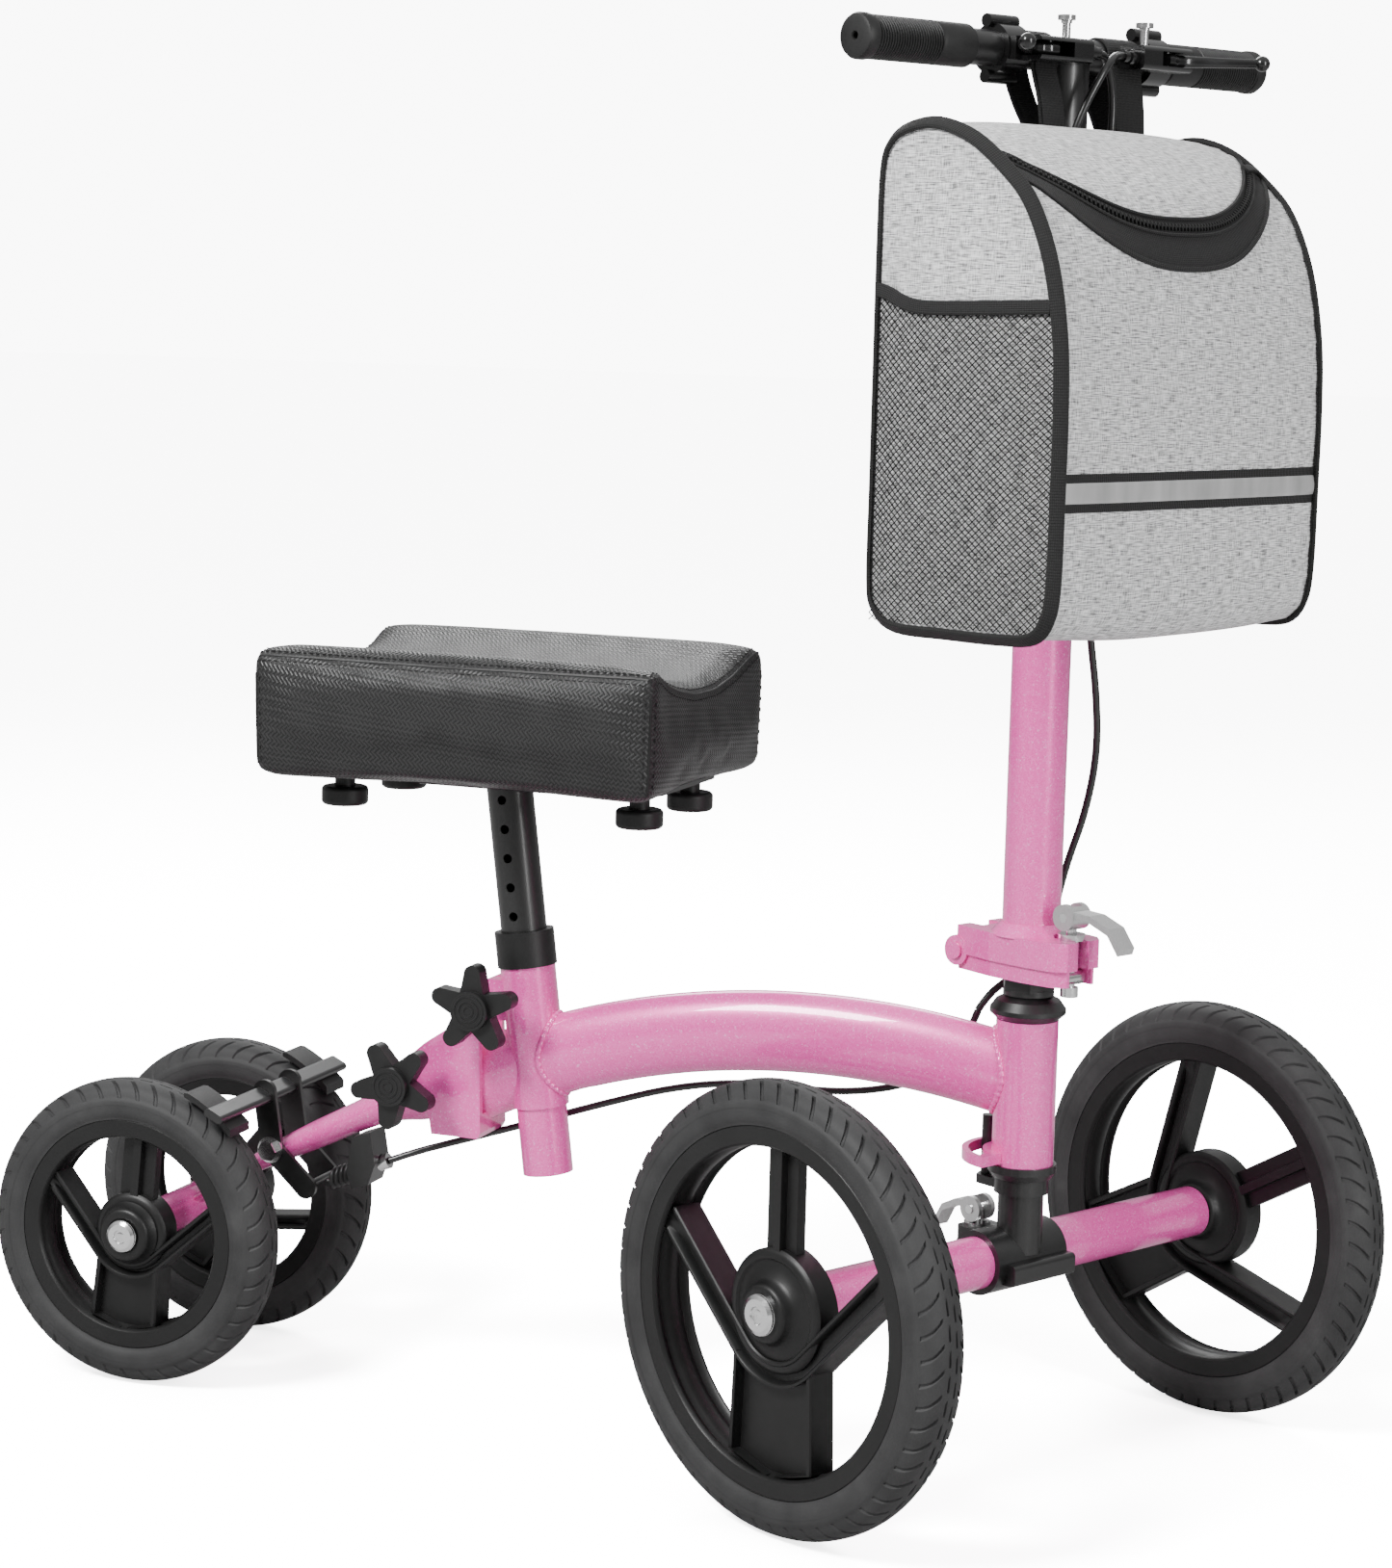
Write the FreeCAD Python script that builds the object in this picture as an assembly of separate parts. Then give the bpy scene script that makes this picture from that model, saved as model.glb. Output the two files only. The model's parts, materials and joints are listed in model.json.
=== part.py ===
import FreeCAD, Part
import math
import os

# Knee scooter: a steered pair of large front wheels, an arched main beam, a kneeling pad on a
# height-adjustable post, two small rear wheels with a tyre brake, and a folding steering column
# with a straight handlebar, two brake levers and a soft bag.
#
# Millimetres.  +X is the way the scooter travels, +Y is the rider's left, +Z is up, and the
# wheels stand on Z = 0.  Shapes are first laid out from the steering axis (X = 0, Y = 0); the
# whole scooter is then moved forward by ROW_SHIFT_X so that its box is centred on the origin.

V = FreeCAD.Vector
X_AXIS, Y_AXIS, Z_AXIS = V(1, 0, 0), V(0, 1, 0), V(0, 0, 1)

# ---- driving dimensions ---------------------------------------------------------------------
ROW_SHIFT_X = 252.0          # from the steering axis to the middle of the scooter's length
STEER_AT_REST = -26.8        # the front end stands turned to the rider's right, degrees

FRONT_WHEEL_R = 145.0
REAR_WHEEL_R = 108.6
FRONT_RIM_R = 117.7          # where the tyre's side meets the rim
REAR_RIM_R = 81.8
TYRE_HALF_W = 18.5
FRONT_TRACK_HALF = 206.8     # steering axis to the middle plane of a front wheel
REAR_TRACK_HALF = 74.1
WHEELBASE = 620.6
AXLE_BEHIND_STEERER = 8.0
SPINDLE_R = 5.0
HUB_HALF, HUB_BOSS_R = 20.0, 18.5
FLAT_SPOKE_HALF = 13.0
RUN_FIT = 0.05               # radial clearance of a turning or sliding fit
GAP = 0.4                    # between faces of different moving bodies

STEERER_R = 15.0
STEER_STOP = 45.0            # the stop pin allows this much each way, degrees
STOP_PIN_AT, STOP_PIN_R = 31.0, 4.2
HEAD_TUBE_R, HEAD_TUBE_BORE_R = 20.5, 17.0
HEAD_BOTTOM, HEAD_TOP = 209.6, 306.2
FOLD_BOTTOM, FOLD_SEAM, FOLD_TOP = 334.6, 345.0, 368.0
FOLD_HINGE_X, FOLD_HINGE_Z = -46.0, 347.0
FOLD_BOLT_X = 35.0
STEM_R, STEM_BORE_R = 19.05, 17.0
STEM_TOP = 800.0
INNER_STEM_R = 15.9
BAR_Z, BAR_R, BAR_HALF = 926.0, 11.1, 184.0

BEAM_HALF_H, BEAM_HALF_W, BEAM_WALL = 27.5, 17.5, 2.0
BEAM_FRONT, BEAM_MID, BEAM_REAR = V(0, 0, 264.5), V(-170, 0, 281.0), V(-396, 0, 222.0)

SEAT_LEAN = 7.3              # the seat tube leans back, degrees
SEAT_TUBE_TOP = V(-357.2, 0, 312.0)
SEAT_TUBE_R, SEAT_TUBE_BORE_R = 19.2, 17.4
STUB_R = 17.4
SEAT_BOLT_X, SEAT_BOLT_Z = -374.4, 285.5
ARM_BOLT_X, ARM_BOLT_Z = -434.0, 227.0
KNOB_BOLT_R = 4.0
POST_R = 15.9
PAD_BOTTOM, PAD_TOP = 445.2, 532.0
PAD_REAR, PAD_FRONT, PAD_HALF_W = -518.3, -224.8, 108.3

BAG_BOTTOM, BAG_TOP = 578.0, 872.0
BAG_DEPTH, BAG_WIDTH = 138.0, 262.0
BAG_BACK_X, BAG_MID_Y, BAG_TURN = 30.0, -70.0, 4.0
STRAP_LOW = 858.0
STRAPS = ((-44.0, -21.0), (28.0, 60.0))

RIGHT_CLAMP_Y, LEFT_CLAMP_Y = -58.0, 78.0
CABLE_R = 2.5

BRAKE_PIVOT = V(-543, 0, 163)
SHOE_AT = V(-549, 0, 204)    # middle of the brake's cross bar
CABLE_END, CABLE_END_AXIS = V(-476, 0, 153), V(-0.927, 0, -0.375)
SPLITTER_TOP, SPLITTER_BOTTOM, SPLITTER_R = V(8, 31, 661), V(8, 31, 630), 5.8

rear_axle = V(-WHEELBASE, 0, REAR_WHEEL_R)
front_axle = V(-AXLE_BEHIND_STEERER, 0, FRONT_WHEEL_R)


# ---- small shape helpers --------------------------------------------------------------------
def rod(radius, start, end):
    """A round bar between two points."""
    run = end - start
    return Part.makeCylinder(radius, run.Length, start, run)


def tube(radius, bore, start, end):
    """A round tube between two points."""
    run = end - start
    over = run.normalize() * 1.0
    return rod(radius, start, end).cut(rod(bore, start - over, end + over))


def block(x0, x1, y0, y1, z0, z1):
    """A box between two corners."""
    return Part.makeBox(x1 - x0, y1 - y0, z1 - z0, V(x0, y0, z0))


def round_edges(shape, radius, keep):
    """Fillets the edges that the test `keep` picks."""
    return shape.makeFillet(radius, [e for e in shape.Edges if keep(e)])


def along(axis_name):
    """A test for straight edges that run along one axis."""
    pick = {"x": X_AXIS, "y": Y_AXIS, "z": Z_AXIS}[axis_name]

    def test(edge):
        if not isinstance(edge.Curve, Part.Line):
            return False
        return abs(edge.Curve.Direction.dot(pick)) > 0.999
    return test


def plate(points, thickness_from, thickness_to, normal="y"):
    """A flat plate: an outline in the plane across `normal`, given as pairs, made solid."""
    place = {
        "y": lambda a, b, t: V(a, t, b),
        "z": lambda a, b, t: V(a, b, t),
        "x": lambda a, b, t: V(t, a, b),
    }[normal]
    corners = [place(a, b, thickness_from) for a, b in points]
    face = Part.Face(Part.makePolygon(corners + [corners[0]]))
    span = place(0, 0, thickness_to) - place(0, 0, thickness_from)
    return face.extrude(span)


def capsule(start, end, radius, y0, y1):
    """A flat bar with round ends, lying across Y, between two points of the XZ plane."""
    lift = V(0, y0, 0)
    run = end - start
    side = V(-run.z, 0, run.x).normalize() * radius
    first = [start + side + lift, start - side + lift, end - side + lift, end + side + lift]
    bar = Part.Face(Part.makePolygon(first + [first[0]])).extrude(V(0, y1 - y0, 0))
    ends = [rod(radius, p + lift, p + V(0, y1, 0)) for p in (start, end)]
    return bar.fuse(ends).removeSplitter()


def turned(profile, centre):
    """A shape turned about the Y axis: profile is a closed list of (y, radius) pairs."""
    corners = [V(0, y, r) for y, r in profile]
    face = Part.Face(Part.makePolygon(corners + [corners[0]]))
    shape = face.revolve(V(0, 0, 0), Y_AXIS, 360)
    shape.translate(centre)
    return shape


def fuse_all(shapes):
    """One clean solid out of several."""
    return shapes[0].fuse(shapes[1:]).removeSplitter()


def bend_cord(name, points, radius):
    """A cord: straight runs joined by tangent arcs, each as large as its two runs allow."""
    edges, here, radii = [], points[0], []
    for before, corner, after in zip(points, points[1:], points[2:]):
        back, on = (before - corner), (after - corner)
        shorter = min(back.Length, on.Length)
        back.normalize()
        on.normalize()
        half_turn = (math.pi - back.getAngle(on)) / 2
        reach = 0.45 * shorter
        radii.append(reach / math.tan(half_turn))
        start, end = corner + back * reach, corner + on * reach
        bisector = (back + on).normalize()
        middle = corner + bisector * (radii[-1] / math.cos(half_turn) - radii[-1])
        edges += [Part.LineSegment(here, start), Part.Arc(start, middle, end)]
        here = end
    edges.append(Part.LineSegment(here, points[-1]))
    path = Part.Wire([e.toShape() for e in edges])
    ring = Part.Circle(points[0], points[1] - points[0], radius).toShape()
    cord = path.makePipeShell([Part.Wire(ring)], True, True)
    ideal = math.pi * radius ** 2 * path.Length
    print(name, "length", round(path.Length), "least radius", round(min(radii)),
          "volume ratio", round(cord.Volume / ideal, 4))
    return cord


# ---- wheels ---------------------------------------------------------------------------------
def tyre(outer, seat, centre):
    """A solid tyre with flat-sided walls and a rounded crown, open at the rim seat."""
    w = TYRE_HALF_W
    start, end = V(0, -w + 2.3, seat), V(0, w - 2.3, seat)
    low_l, low_r = V(0, -w, seat + 8), V(0, w, seat + 8)
    high_l, high_r = V(0, -w + 2, outer - 9), V(0, w - 2, outer - 9)
    crown_l, crown_r = V(0, -w + 7, outer - 2.5), V(0, w - 7, outer - 2.5)
    edges = [
        Part.LineSegment(start, low_l), Part.LineSegment(low_l, high_l),
        Part.LineSegment(high_l, crown_l), Part.Arc(crown_l, V(0, 0, outer), crown_r),
        Part.LineSegment(crown_r, high_r), Part.LineSegment(high_r, low_r),
        Part.LineSegment(low_r, end), Part.LineSegment(end, start),
    ]
    face = Part.Face(Part.Wire([e.toShape() for e in edges]))
    shape = face.revolve(V(0, 0, 0), Y_AXIS, 360)
    soft = [e for e in shape.Edges if e.Vertexes[0].Point.z > seat + 4]
    shape = shape.makeFillet(2.2, soft)
    shape.translate(centre)
    return shape


def spoke_arm(hub_r, reach, end_angle, half_w, half_t):
    """One leg of the V: a bar from the barrel that passes tangent to a circle round the hub."""
    far = math.radians(end_angle)
    start = V(reach * math.cos(far), 0, reach * math.sin(far))
    lean = math.asin(hub_r / reach)
    side = 1 if start.x < 0 else -1
    inward = far + math.pi - side * lean
    run = V(math.cos(inward), 0, math.sin(inward)) * math.sqrt(reach ** 2 - hub_r ** 2)
    return capsule(start, start + run, half_w, -half_t, half_t)


def rim(seat, centre, flip):
    """A moulded rim: barrel, stepped hub, one flat spoke, a V of two legs and one wide panel."""
    half_w = TYRE_HALF_W - 2.3
    inner = seat - 12.5
    disc_r = 0.34 * seat
    barrel = turned([
        (-half_w, seat), (-half_w, inner), (half_w, inner), (half_w, seat),
    ], V(0, 0, 0))
    hub = turned([
        (-HUB_HALF, SPINDLE_R + RUN_FIT), (-HUB_HALF, HUB_BOSS_R), (-12, HUB_BOSS_R + 3),
        (-9, disc_r), (9, disc_r), (12, HUB_BOSS_R + 3), (HUB_HALF, HUB_BOSS_R),
        (HUB_HALF, SPINDLE_R + RUN_FIT),
    ], V(0, 0, 0))
    reach = inner + 3
    flat = block(-FLAT_SPOKE_HALF, FLAT_SPOKE_HALF, -4, 4, 0, reach)
    panel_half = 0.31 * seat
    panel = block(-panel_half, panel_half, -4, 4, -reach, 0)
    legs = [spoke_arm(disc_r, reach, 90 + turn, 0.074 * seat, 11.0) for turn in (-67, 67)]
    spokes = fuse_all([flat, panel] + legs)
    spokes = spokes.common(rod(reach, V(0, -30, 0), V(0, 30, 0)))
    spokes = spokes.cut(rod(disc_r * 0.8, V(0, -30, 0), V(0, 30, 0)))
    shape = fuse_all([barrel, hub, spokes])
    if flip:
        shape.rotate(V(0, 0, 0), Y_AXIS, flip)
    shape.translate(centre)
    return shape


def axle_with_heads(centre, half_length, head_r):
    """A spindle rod with a domed, ringed bolt head on each end."""
    body = rod(SPINDLE_R, centre - Y_AXIS * half_length, centre + Y_AXIS * half_length)
    heads = []
    for side in (-1, 1):
        base = half_length
        outline = [(base, 0.01), (base, head_r), (base + 2.5, head_r),
                   (base + 4.0, head_r * 0.8), (base + 4.0, head_r * 0.45),
                   (base + 2.8, head_r * 0.40), (base + 2.8, 0.01)]
        profile = [(side * y, r) for y, r in outline]
        heads.append(turned(profile, centre))
    return fuse_all([body] + heads)


# ---- frame ----------------------------------------------------------------------------------
def beam_arc(half_h, half_w):
    """The arched beam: an upright oval carried round one circular arc."""
    centre = Part.Arc(BEAM_FRONT, BEAM_MID, BEAM_REAR).toShape().Curve.Center
    start = BEAM_FRONT - centre
    oval = Part.Ellipse(V(0, 0, 0), half_h, half_w).toShape()
    face = Part.Face(Part.Wire(oval))
    face.rotate(V(0, 0, 0), Y_AXIS, -90)
    face.rotate(V(0, 0, 0), Y_AXIS, math.degrees(math.atan2(start.x, start.z)))
    face.translate(BEAM_FRONT)
    end = BEAM_REAR - centre
    sweep = math.degrees(start.getAngle(end))
    return face.revolve(centre, Y_AXIS, -sweep)


def seat_point(z):
    """The point of the leaning seat axis at height z."""
    return V(SEAT_TUBE_TOP.x - math.tan(math.radians(SEAT_LEAN)) * (z - SEAT_TUBE_TOP.z), 0, z)


def ring_sector(inner, outer, half_angle, bottom, top):
    """A flat ring sector behind the steering axis, spread evenly about -X."""
    disc = Part.makeCylinder(outer, top - bottom, V(0, 0, bottom), Z_AXIS, 2 * half_angle)
    hole = Part.makeCylinder(inner, top - bottom + 2, V(0, 0, bottom - 1), Z_AXIS)
    sector = disc.cut(hole)
    sector.rotate(V(0, 0, 0), Z_AXIS, 180 - half_angle)
    return sector


def head_tube():
    """The head tube, with the slotted stop plate behind its foot that limits the steering."""
    shape = rod(HEAD_TUBE_R, V(0, 0, HEAD_BOTTOM), V(0, 0, HEAD_TOP))
    low, high = HEAD_BOTTOM + 2, HEAD_BOTTOM + 9
    stop = ring_sector(HEAD_TUBE_BORE_R, STOP_PIN_AT + 9, STEER_STOP + 19, low, high)
    slot_half = STOP_PIN_R + 0.5
    slot = ring_sector(STOP_PIN_AT - slot_half, STOP_PIN_AT + slot_half, STEER_STOP + 8.5,
                       low - 1, high + 1)
    shape = shape.fuse(stop.cut(slot))
    shape = shape.cut(rod(HEAD_TUBE_BORE_R, V(0, 0, HEAD_BOTTOM - 1), V(0, 0, HEAD_TOP + 1)))
    return shape.removeSplitter()


def seat_tube_solid():
    """The outside of the seat tube and of the narrower stub under the beam."""
    upper = rod(SEAT_TUBE_R, seat_point(212), SEAT_TUBE_TOP)
    stub = rod(STUB_R, seat_point(165), seat_point(213))
    return upper.fuse(stub)


def seat_tube():
    """The seat tube with its pinch slot and lugs, and the open stub under the beam."""
    lugs = block(SEAT_BOLT_X - 11, SEAT_BOLT_X + 12, -13, 13, SEAT_BOLT_Z - 14, SEAT_BOLT_Z + 14)
    lugs = round_edges(lugs, 5, along("y"))
    shape = seat_tube_solid().fuse(lugs)
    shape = shape.cut(rod(SEAT_TUBE_BORE_R, seat_point(216), seat_point(330)))
    shape = shape.cut(rod(POST_R + RUN_FIT, seat_point(150), seat_point(217)))
    shape = shape.cut(block(SEAT_BOLT_X - 16, SEAT_BOLT_X + 16, -1.5, 1.5, 268, 330))
    shape = shape.cut(rod(KNOB_BOLT_R, V(SEAT_BOLT_X, -20, SEAT_BOLT_Z), V(SEAT_BOLT_X, 20, SEAT_BOLT_Z)))
    return shape.removeSplitter()


def beam_lengths():
    """The hollow arched beam, parted by the seat tube: its long front and its short rear end."""
    outer = beam_arc(BEAM_HALF_H, BEAM_HALF_W)
    inner = beam_arc(BEAM_HALF_H - BEAM_WALL, BEAM_HALF_W - BEAM_WALL)
    shape = outer.cut(inner)
    shape = shape.cut(rod(HEAD_TUBE_R, V(0, 0, HEAD_BOTTOM - 20), V(0, 0, HEAD_TOP + 20)))
    shape = shape.cut(seat_tube_solid())
    return sorted(shape.Solids, key=lambda s: -s.BoundBox.XMax)


def main_beam():
    """The beam between the head tube and the seat tube."""
    return beam_lengths()[0]


def rear_arm():
    """The curved, tapering arm from the rear bracket down to the rear axle."""
    stations = [
        (-401, 228, 27.0, 17.0), (-434, 213.5, 25.0, 17.0), (-466, 199, 19.5, 17.0),
        (-502, 180, 17.5, 16.5), (-532, 165, 15.7, 15.4), (-566, 146, 14.0, 13.8),
        (-600, 123, 12.5, 12.3), (-624, 105.5, 11.5, 11.3),
    ]
    rings = []
    for i, (x, z, half_h, half_w) in enumerate(stations):
        before, after = stations[max(i - 1, 0)], stations[min(i + 1, len(stations) - 1)]
        slope = math.degrees(math.atan2(after[1] - before[1], before[0] - after[0]))
        ring = Part.Ellipse(V(0, 0, 0), half_h, half_w).toShape()
        ring.rotate(V(0, 0, 0), Y_AXIS, -90 - slope)
        ring.translate(V(x, 0, z))
        rings.append(Part.Wire(ring))
    arm = Part.makeLoft(rings, True, False)
    cross = rod(14.0, rear_axle - Y_AXIS * 50, rear_axle + Y_AXIS * 50)
    shape = arm.fuse(cross)
    shape = shape.cut(rod(SPINDLE_R, rear_axle - Y_AXIS * 60, rear_axle + Y_AXIS * 60))
    shape = shape.cut(rod(KNOB_BOLT_R, V(ARM_BOLT_X, -30, ARM_BOLT_Z), V(ARM_BOLT_X, 30, ARM_BOLT_Z)))
    shape = shape.cut(rod(4.0, BRAKE_PIVOT - Y_AXIS * 30, BRAKE_PIVOT + Y_AXIS * 30))
    return shape.removeSplitter()


def rear_bracket():
    """The welded clevis that closes the beam's rear end and clamps the rear arm."""
    cheek = [(-381, 192), (-383, 270), (-399, 269), (-424, 252), (-434, 243), (-446, 232),
             (-447, 222), (-438, 213), (-421, 206), (-418, 188), (-383, 188)]
    shape = plate(cheek, -22, 22)
    hollow = beam_arc(BEAM_HALF_H, BEAM_HALF_W).fuse(rear_arm())
    shape = shape.cut(hollow)
    shape = shape.cut(block(-450, -380, -17.2, 17.2, 205, 275))
    shape = shape.cut(rod(KNOB_BOLT_R, V(ARM_BOLT_X, -30, ARM_BOLT_Z), V(ARM_BOLT_X, 30, ARM_BOLT_Z)))
    beam_end = max(beam_lengths()[1:], key=lambda s: s.Volume).cut(rear_arm())
    return max(shape.fuse(beam_end).removeSplitter().Solids, key=lambda s: s.Volume)


def seat_collar():
    """The plastic sleeve that lines the seat tube's mouth."""
    top = seat_point(334)
    rim_bottom = seat_point(309.5)
    axis = (top - rim_bottom).normalize()
    shape = rod(20.6, rim_bottom, top)
    shape = shape.cut(rod(SEAT_TUBE_R, rim_bottom - axis, SEAT_TUBE_TOP))
    shape = shape.fuse(rod(SEAT_TUBE_BORE_R, seat_point(293), top))
    shape = shape.cut(rod(POST_R + RUN_FIT, seat_point(280), seat_point(345)))
    return shape.removeSplitter()


def star_knob(centre_x, centre_z, phase):
    """A five-armed star knob on the near side, turned by hand about Y."""
    y_face, y_back = -60.0, -44.0
    hub = rod(13.5, V(0, y_back, 0), V(0, y_face, 0))
    arms = []
    for i in range(5):
        angle = math.radians(phase + 72 * i)
        ray = V(math.cos(angle), 0, math.sin(angle))
        side = V(-ray.z, 0, ray.x)
        corners = [ray * 4 + side * 10, ray * 25 + side * 6, ray * 25 - side * 6,
                   ray * 4 - side * 10]
        corners = [c + V(0, y_back + 1, 0) for c in corners]
        arm = Part.Face(Part.makePolygon(corners + [corners[0]])).extrude(V(0, -12, 0))
        tip = rod(6, ray * 25 + V(0, y_back + 1, 0), ray * 25 + V(0, y_back - 11, 0))
        arms += [arm, tip]
    neck = rod(8, V(0, y_back, 0), V(0, y_back + 6, 0))
    shape = fuse_all([hub, neck] + arms)
    shape = shape.cut(rod(KNOB_BOLT_R + RUN_FIT, V(0, y_face + 6, 0), V(0, 0, 0)))
    shape.translate(V(centre_x, 0, centre_z))
    return shape


def joint_bolts():
    """The two cross bolts that the star knobs tighten, with a nut at the far side."""
    bolts = []
    for x, z, nut_y in ((ARM_BOLT_X, ARM_BOLT_Z, 22), (SEAT_BOLT_X, SEAT_BOLT_Z, 15)):
        shaft = rod(KNOB_BOLT_R, V(x, -52, z), V(x, nut_y + 8, z))
        nut = Part.Face(Part.makePolygon(
            [V(x + 8 * math.cos(math.radians(60 * i)), nut_y, z + 8 * math.sin(math.radians(60 * i)))
             for i in range(7)])).extrude(V(0, 6, 0))
        bolts.append(shaft.fuse(nut).removeSplitter())
    return Part.makeCompound(bolts)


def headset_cups():
    """The upper and lower headset cups, pressed into the head tube."""
    bore = STEERER_R + RUN_FIT
    upper = [(bore, HEAD_TOP - 8), (HEAD_TUBE_BORE_R, HEAD_TOP - 8), (HEAD_TUBE_BORE_R, HEAD_TOP),
             (20, HEAD_TOP), (25, HEAD_TOP + 4.5), (25, HEAD_TOP + 7.5), (21, HEAD_TOP + 13),
             (bore, HEAD_TOP + 16)]
    lower = [(bore, HEAD_BOTTOM + 8), (HEAD_TUBE_BORE_R, HEAD_BOTTOM + 8),
             (HEAD_TUBE_BORE_R, HEAD_BOTTOM), (22.5, HEAD_BOTTOM), (22.5, HEAD_BOTTOM - 5),
             (20, HEAD_BOTTOM - 9), (bore, HEAD_BOTTOM - 9)]
    cups = []
    for outline in (upper, lower):
        corners = [V(r, 0, z) for r, z in outline]
        face = Part.Face(Part.makePolygon(corners + [corners[0]]))
        cups.append(face.revolve(V(0, 0, 0), Z_AXIS, 360))
    return Part.makeCompound(cups)


# ---- seat -----------------------------------------------------------------------------------
def seat_post():
    """The round seat post, drilled with a row of height holes, with a saddle head."""
    bottom, top = seat_point(190), seat_point(438)
    shape = tube(POST_R, POST_R - 2, bottom, top)
    for i in range(5):
        mid = seat_point(345 + 20 * i)
        shape = shape.cut(rod(3.2, mid - Y_AXIS * 30, mid + Y_AXIS * 30))
    head = block(top.x - 60, top.x + 60, -18, 18, 432, 441.7)
    head = round_edges(head, 3, along("x"))
    inside = rod(POST_R - 2, bottom, seat_point(431))
    return shape.fuse(head).cut(inside).removeSplitter()


def seat_plate():
    """The steel pan under the pad."""
    shape = block(-491, -241, -64, 64, 441.7, PAD_BOTTOM - 0.5)
    return round_edges(shape, 18, along("z"))


def pad():
    """The kneeling pad: a trough with raised side ridges and rounded edges."""
    w, dip = PAD_HALF_W, 20.0
    low, high = PAD_BOTTOM, PAD_TOP
    left = [V(PAD_REAR, w, low), V(PAD_REAR, w, high - 6), V(PAD_REAR, w - 14, high)]
    right = [V(p.x, -p.y, p.z) for p in reversed(left)]
    trough = Part.Arc(right[0], V(PAD_REAR, 0, high - dip), left[-1])
    edges = [Part.LineSegment(left[0], left[1]), Part.LineSegment(left[1], left[2]),
             trough, Part.LineSegment(right[0], right[1]), Part.LineSegment(right[1], right[2]),
             Part.LineSegment(right[2], left[0])]
    outline = Part.Wire(Part.__sortEdges__([e.toShape() for e in edges]))
    shape = Part.Face(outline).extrude(V(PAD_FRONT - PAD_REAR, 0, 0))
    return round_edges(shape, 7, lambda e: e.BoundBox.XLength > 100 or e.BoundBox.XLength < 1)


def pad_knobs():
    """Four round hand knobs on studs that hold the pan to the pad."""
    knobs = []
    for x in (-475, -258):
        for y in (-47, 47):
            grip = rod(16, V(x, y, 419), V(x, y, 432))
            grip = grip.makeFillet(3, [e for e in grip.Edges if e.BoundBox.ZLength < 0.1])
            knobs.append(grip.fuse(rod(7, V(x, y, 431), V(x, y, 441.7))).removeSplitter())
    return Part.makeCompound(knobs)


# ---- rear brake -----------------------------------------------------------------------------
def brake_arm():
    """The rocking brake yoke: two side plates, a cross bar and a shoe over each rear tyre."""
    plates = []
    for side in (-1, 1):
        y0, y1 = sorted((side * 17.4, side * 20.9))
        upper = capsule(BRAKE_PIVOT, SHOE_AT, 8.5, y0, y1)
        lower = capsule(BRAKE_PIVOT, V(-516, 0, 138), 8.0, y0, y1)
        plates += [upper, lower]
    bar = capsule(SHOE_AT + V(-4, 0, 0), SHOE_AT + V(4, 0, -4), 3.0, -96, 96)
    tail = capsule(V(-519, 0, 137), V(-513, 0, 141), 2.2, -20.9, 20.9)
    shape = fuse_all(plates + [bar, tail])
    tyre_sweep = rod(REAR_WHEEL_R + 3.2, rear_axle - Y_AXIS * 120, rear_axle + Y_AXIS * 120)
    guard = block(-700, -400, -120, -22, 0, 400).fuse(block(-700, -400, 22, 120, 0, 400))
    shape = shape.cut(tyre_sweep.common(guard))
    bore = rod(4 + RUN_FIT, BRAKE_PIVOT - Y_AXIS * 30, BRAKE_PIVOT + Y_AXIS * 30)
    return shape.cut(bore).removeSplitter()


def brake_shoes():
    """Two rubber shoes on the cross bar, curved to the rear tyres."""
    shoes = []
    sweep = rod(REAR_WHEEL_R + 3.2, rear_axle - Y_AXIS * 120, rear_axle + Y_AXIS * 120)
    outside = rod(REAR_WHEEL_R + 7.2, rear_axle - Y_AXIS * 120, rear_axle + Y_AXIS * 120)
    for side in (-1, 1):
        y0, y1 = sorted((side * 60, side * 88))
        pad_block = block(-576, -540, y0, y1, 176, 214)
        shoe = pad_block.common(outside).cut(sweep).cut(brake_arm())
        shoes.append(max(shoe.Solids, key=lambda s: s.Volume))
    return Part.makeCompound(shoes)


def brake_bolt():
    """The pivot bolt of the brake yoke, with a washer, head and nut."""
    shaft = rod(4.0, BRAKE_PIVOT - Y_AXIS * 27, BRAKE_PIVOT + Y_AXIS * 27)
    ends = []
    for side in (-1, 1):
        washer = rod(9.5, BRAKE_PIVOT + Y_AXIS * side * 21.3, BRAKE_PIVOT + Y_AXIS * side * 22.8)
        ring = [BRAKE_PIVOT + V(7.2 * math.cos(math.radians(60 * i)), side * 22.8,
                                7.2 * math.sin(math.radians(60 * i))) for i in range(7)]
        head = Part.Face(Part.makePolygon(ring)).extrude(V(0, side * 6, 0))
        ends += [washer, head]
    return fuse_all([shaft] + ends)


def brake_bracket():
    """The fixed plate under the rear arm that holds the cable's end."""
    web = plate([(-484, 176), (-470, 181), (-466, 158), (-471, 143), (-484, 139), (-488, 150)],
                -12, 12)
    shape = web.cut(rear_arm())
    shape = max(shape.Solids, key=lambda s: s.Volume)
    axis, seat = CABLE_END_AXIS, CABLE_END
    shape = shape.cut(rod(4.0, seat - axis * 30, seat + axis * 30))
    shape = shape.cut(rod(8.6, seat + axis * 9.0, seat + axis * 40))
    shape = shape.cut(rod(6.0, seat - axis * 9.0, seat - axis * 40))
    return max(shape.Solids, key=lambda s: s.Volume)


def brake_adjuster():
    """The knurled cable adjuster screwed into the bracket."""
    axis, seat = CABLE_END_AXIS, CABLE_END
    screw = rod(4.0, seat + axis * 9, seat - axis * 9)
    barrel = rod(5.5, seat - axis * 9, seat - axis * 17)
    return fuse_all([screw, barrel]).cut(rod(CABLE_R, seat - axis * 9, seat - axis * 20))


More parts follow.
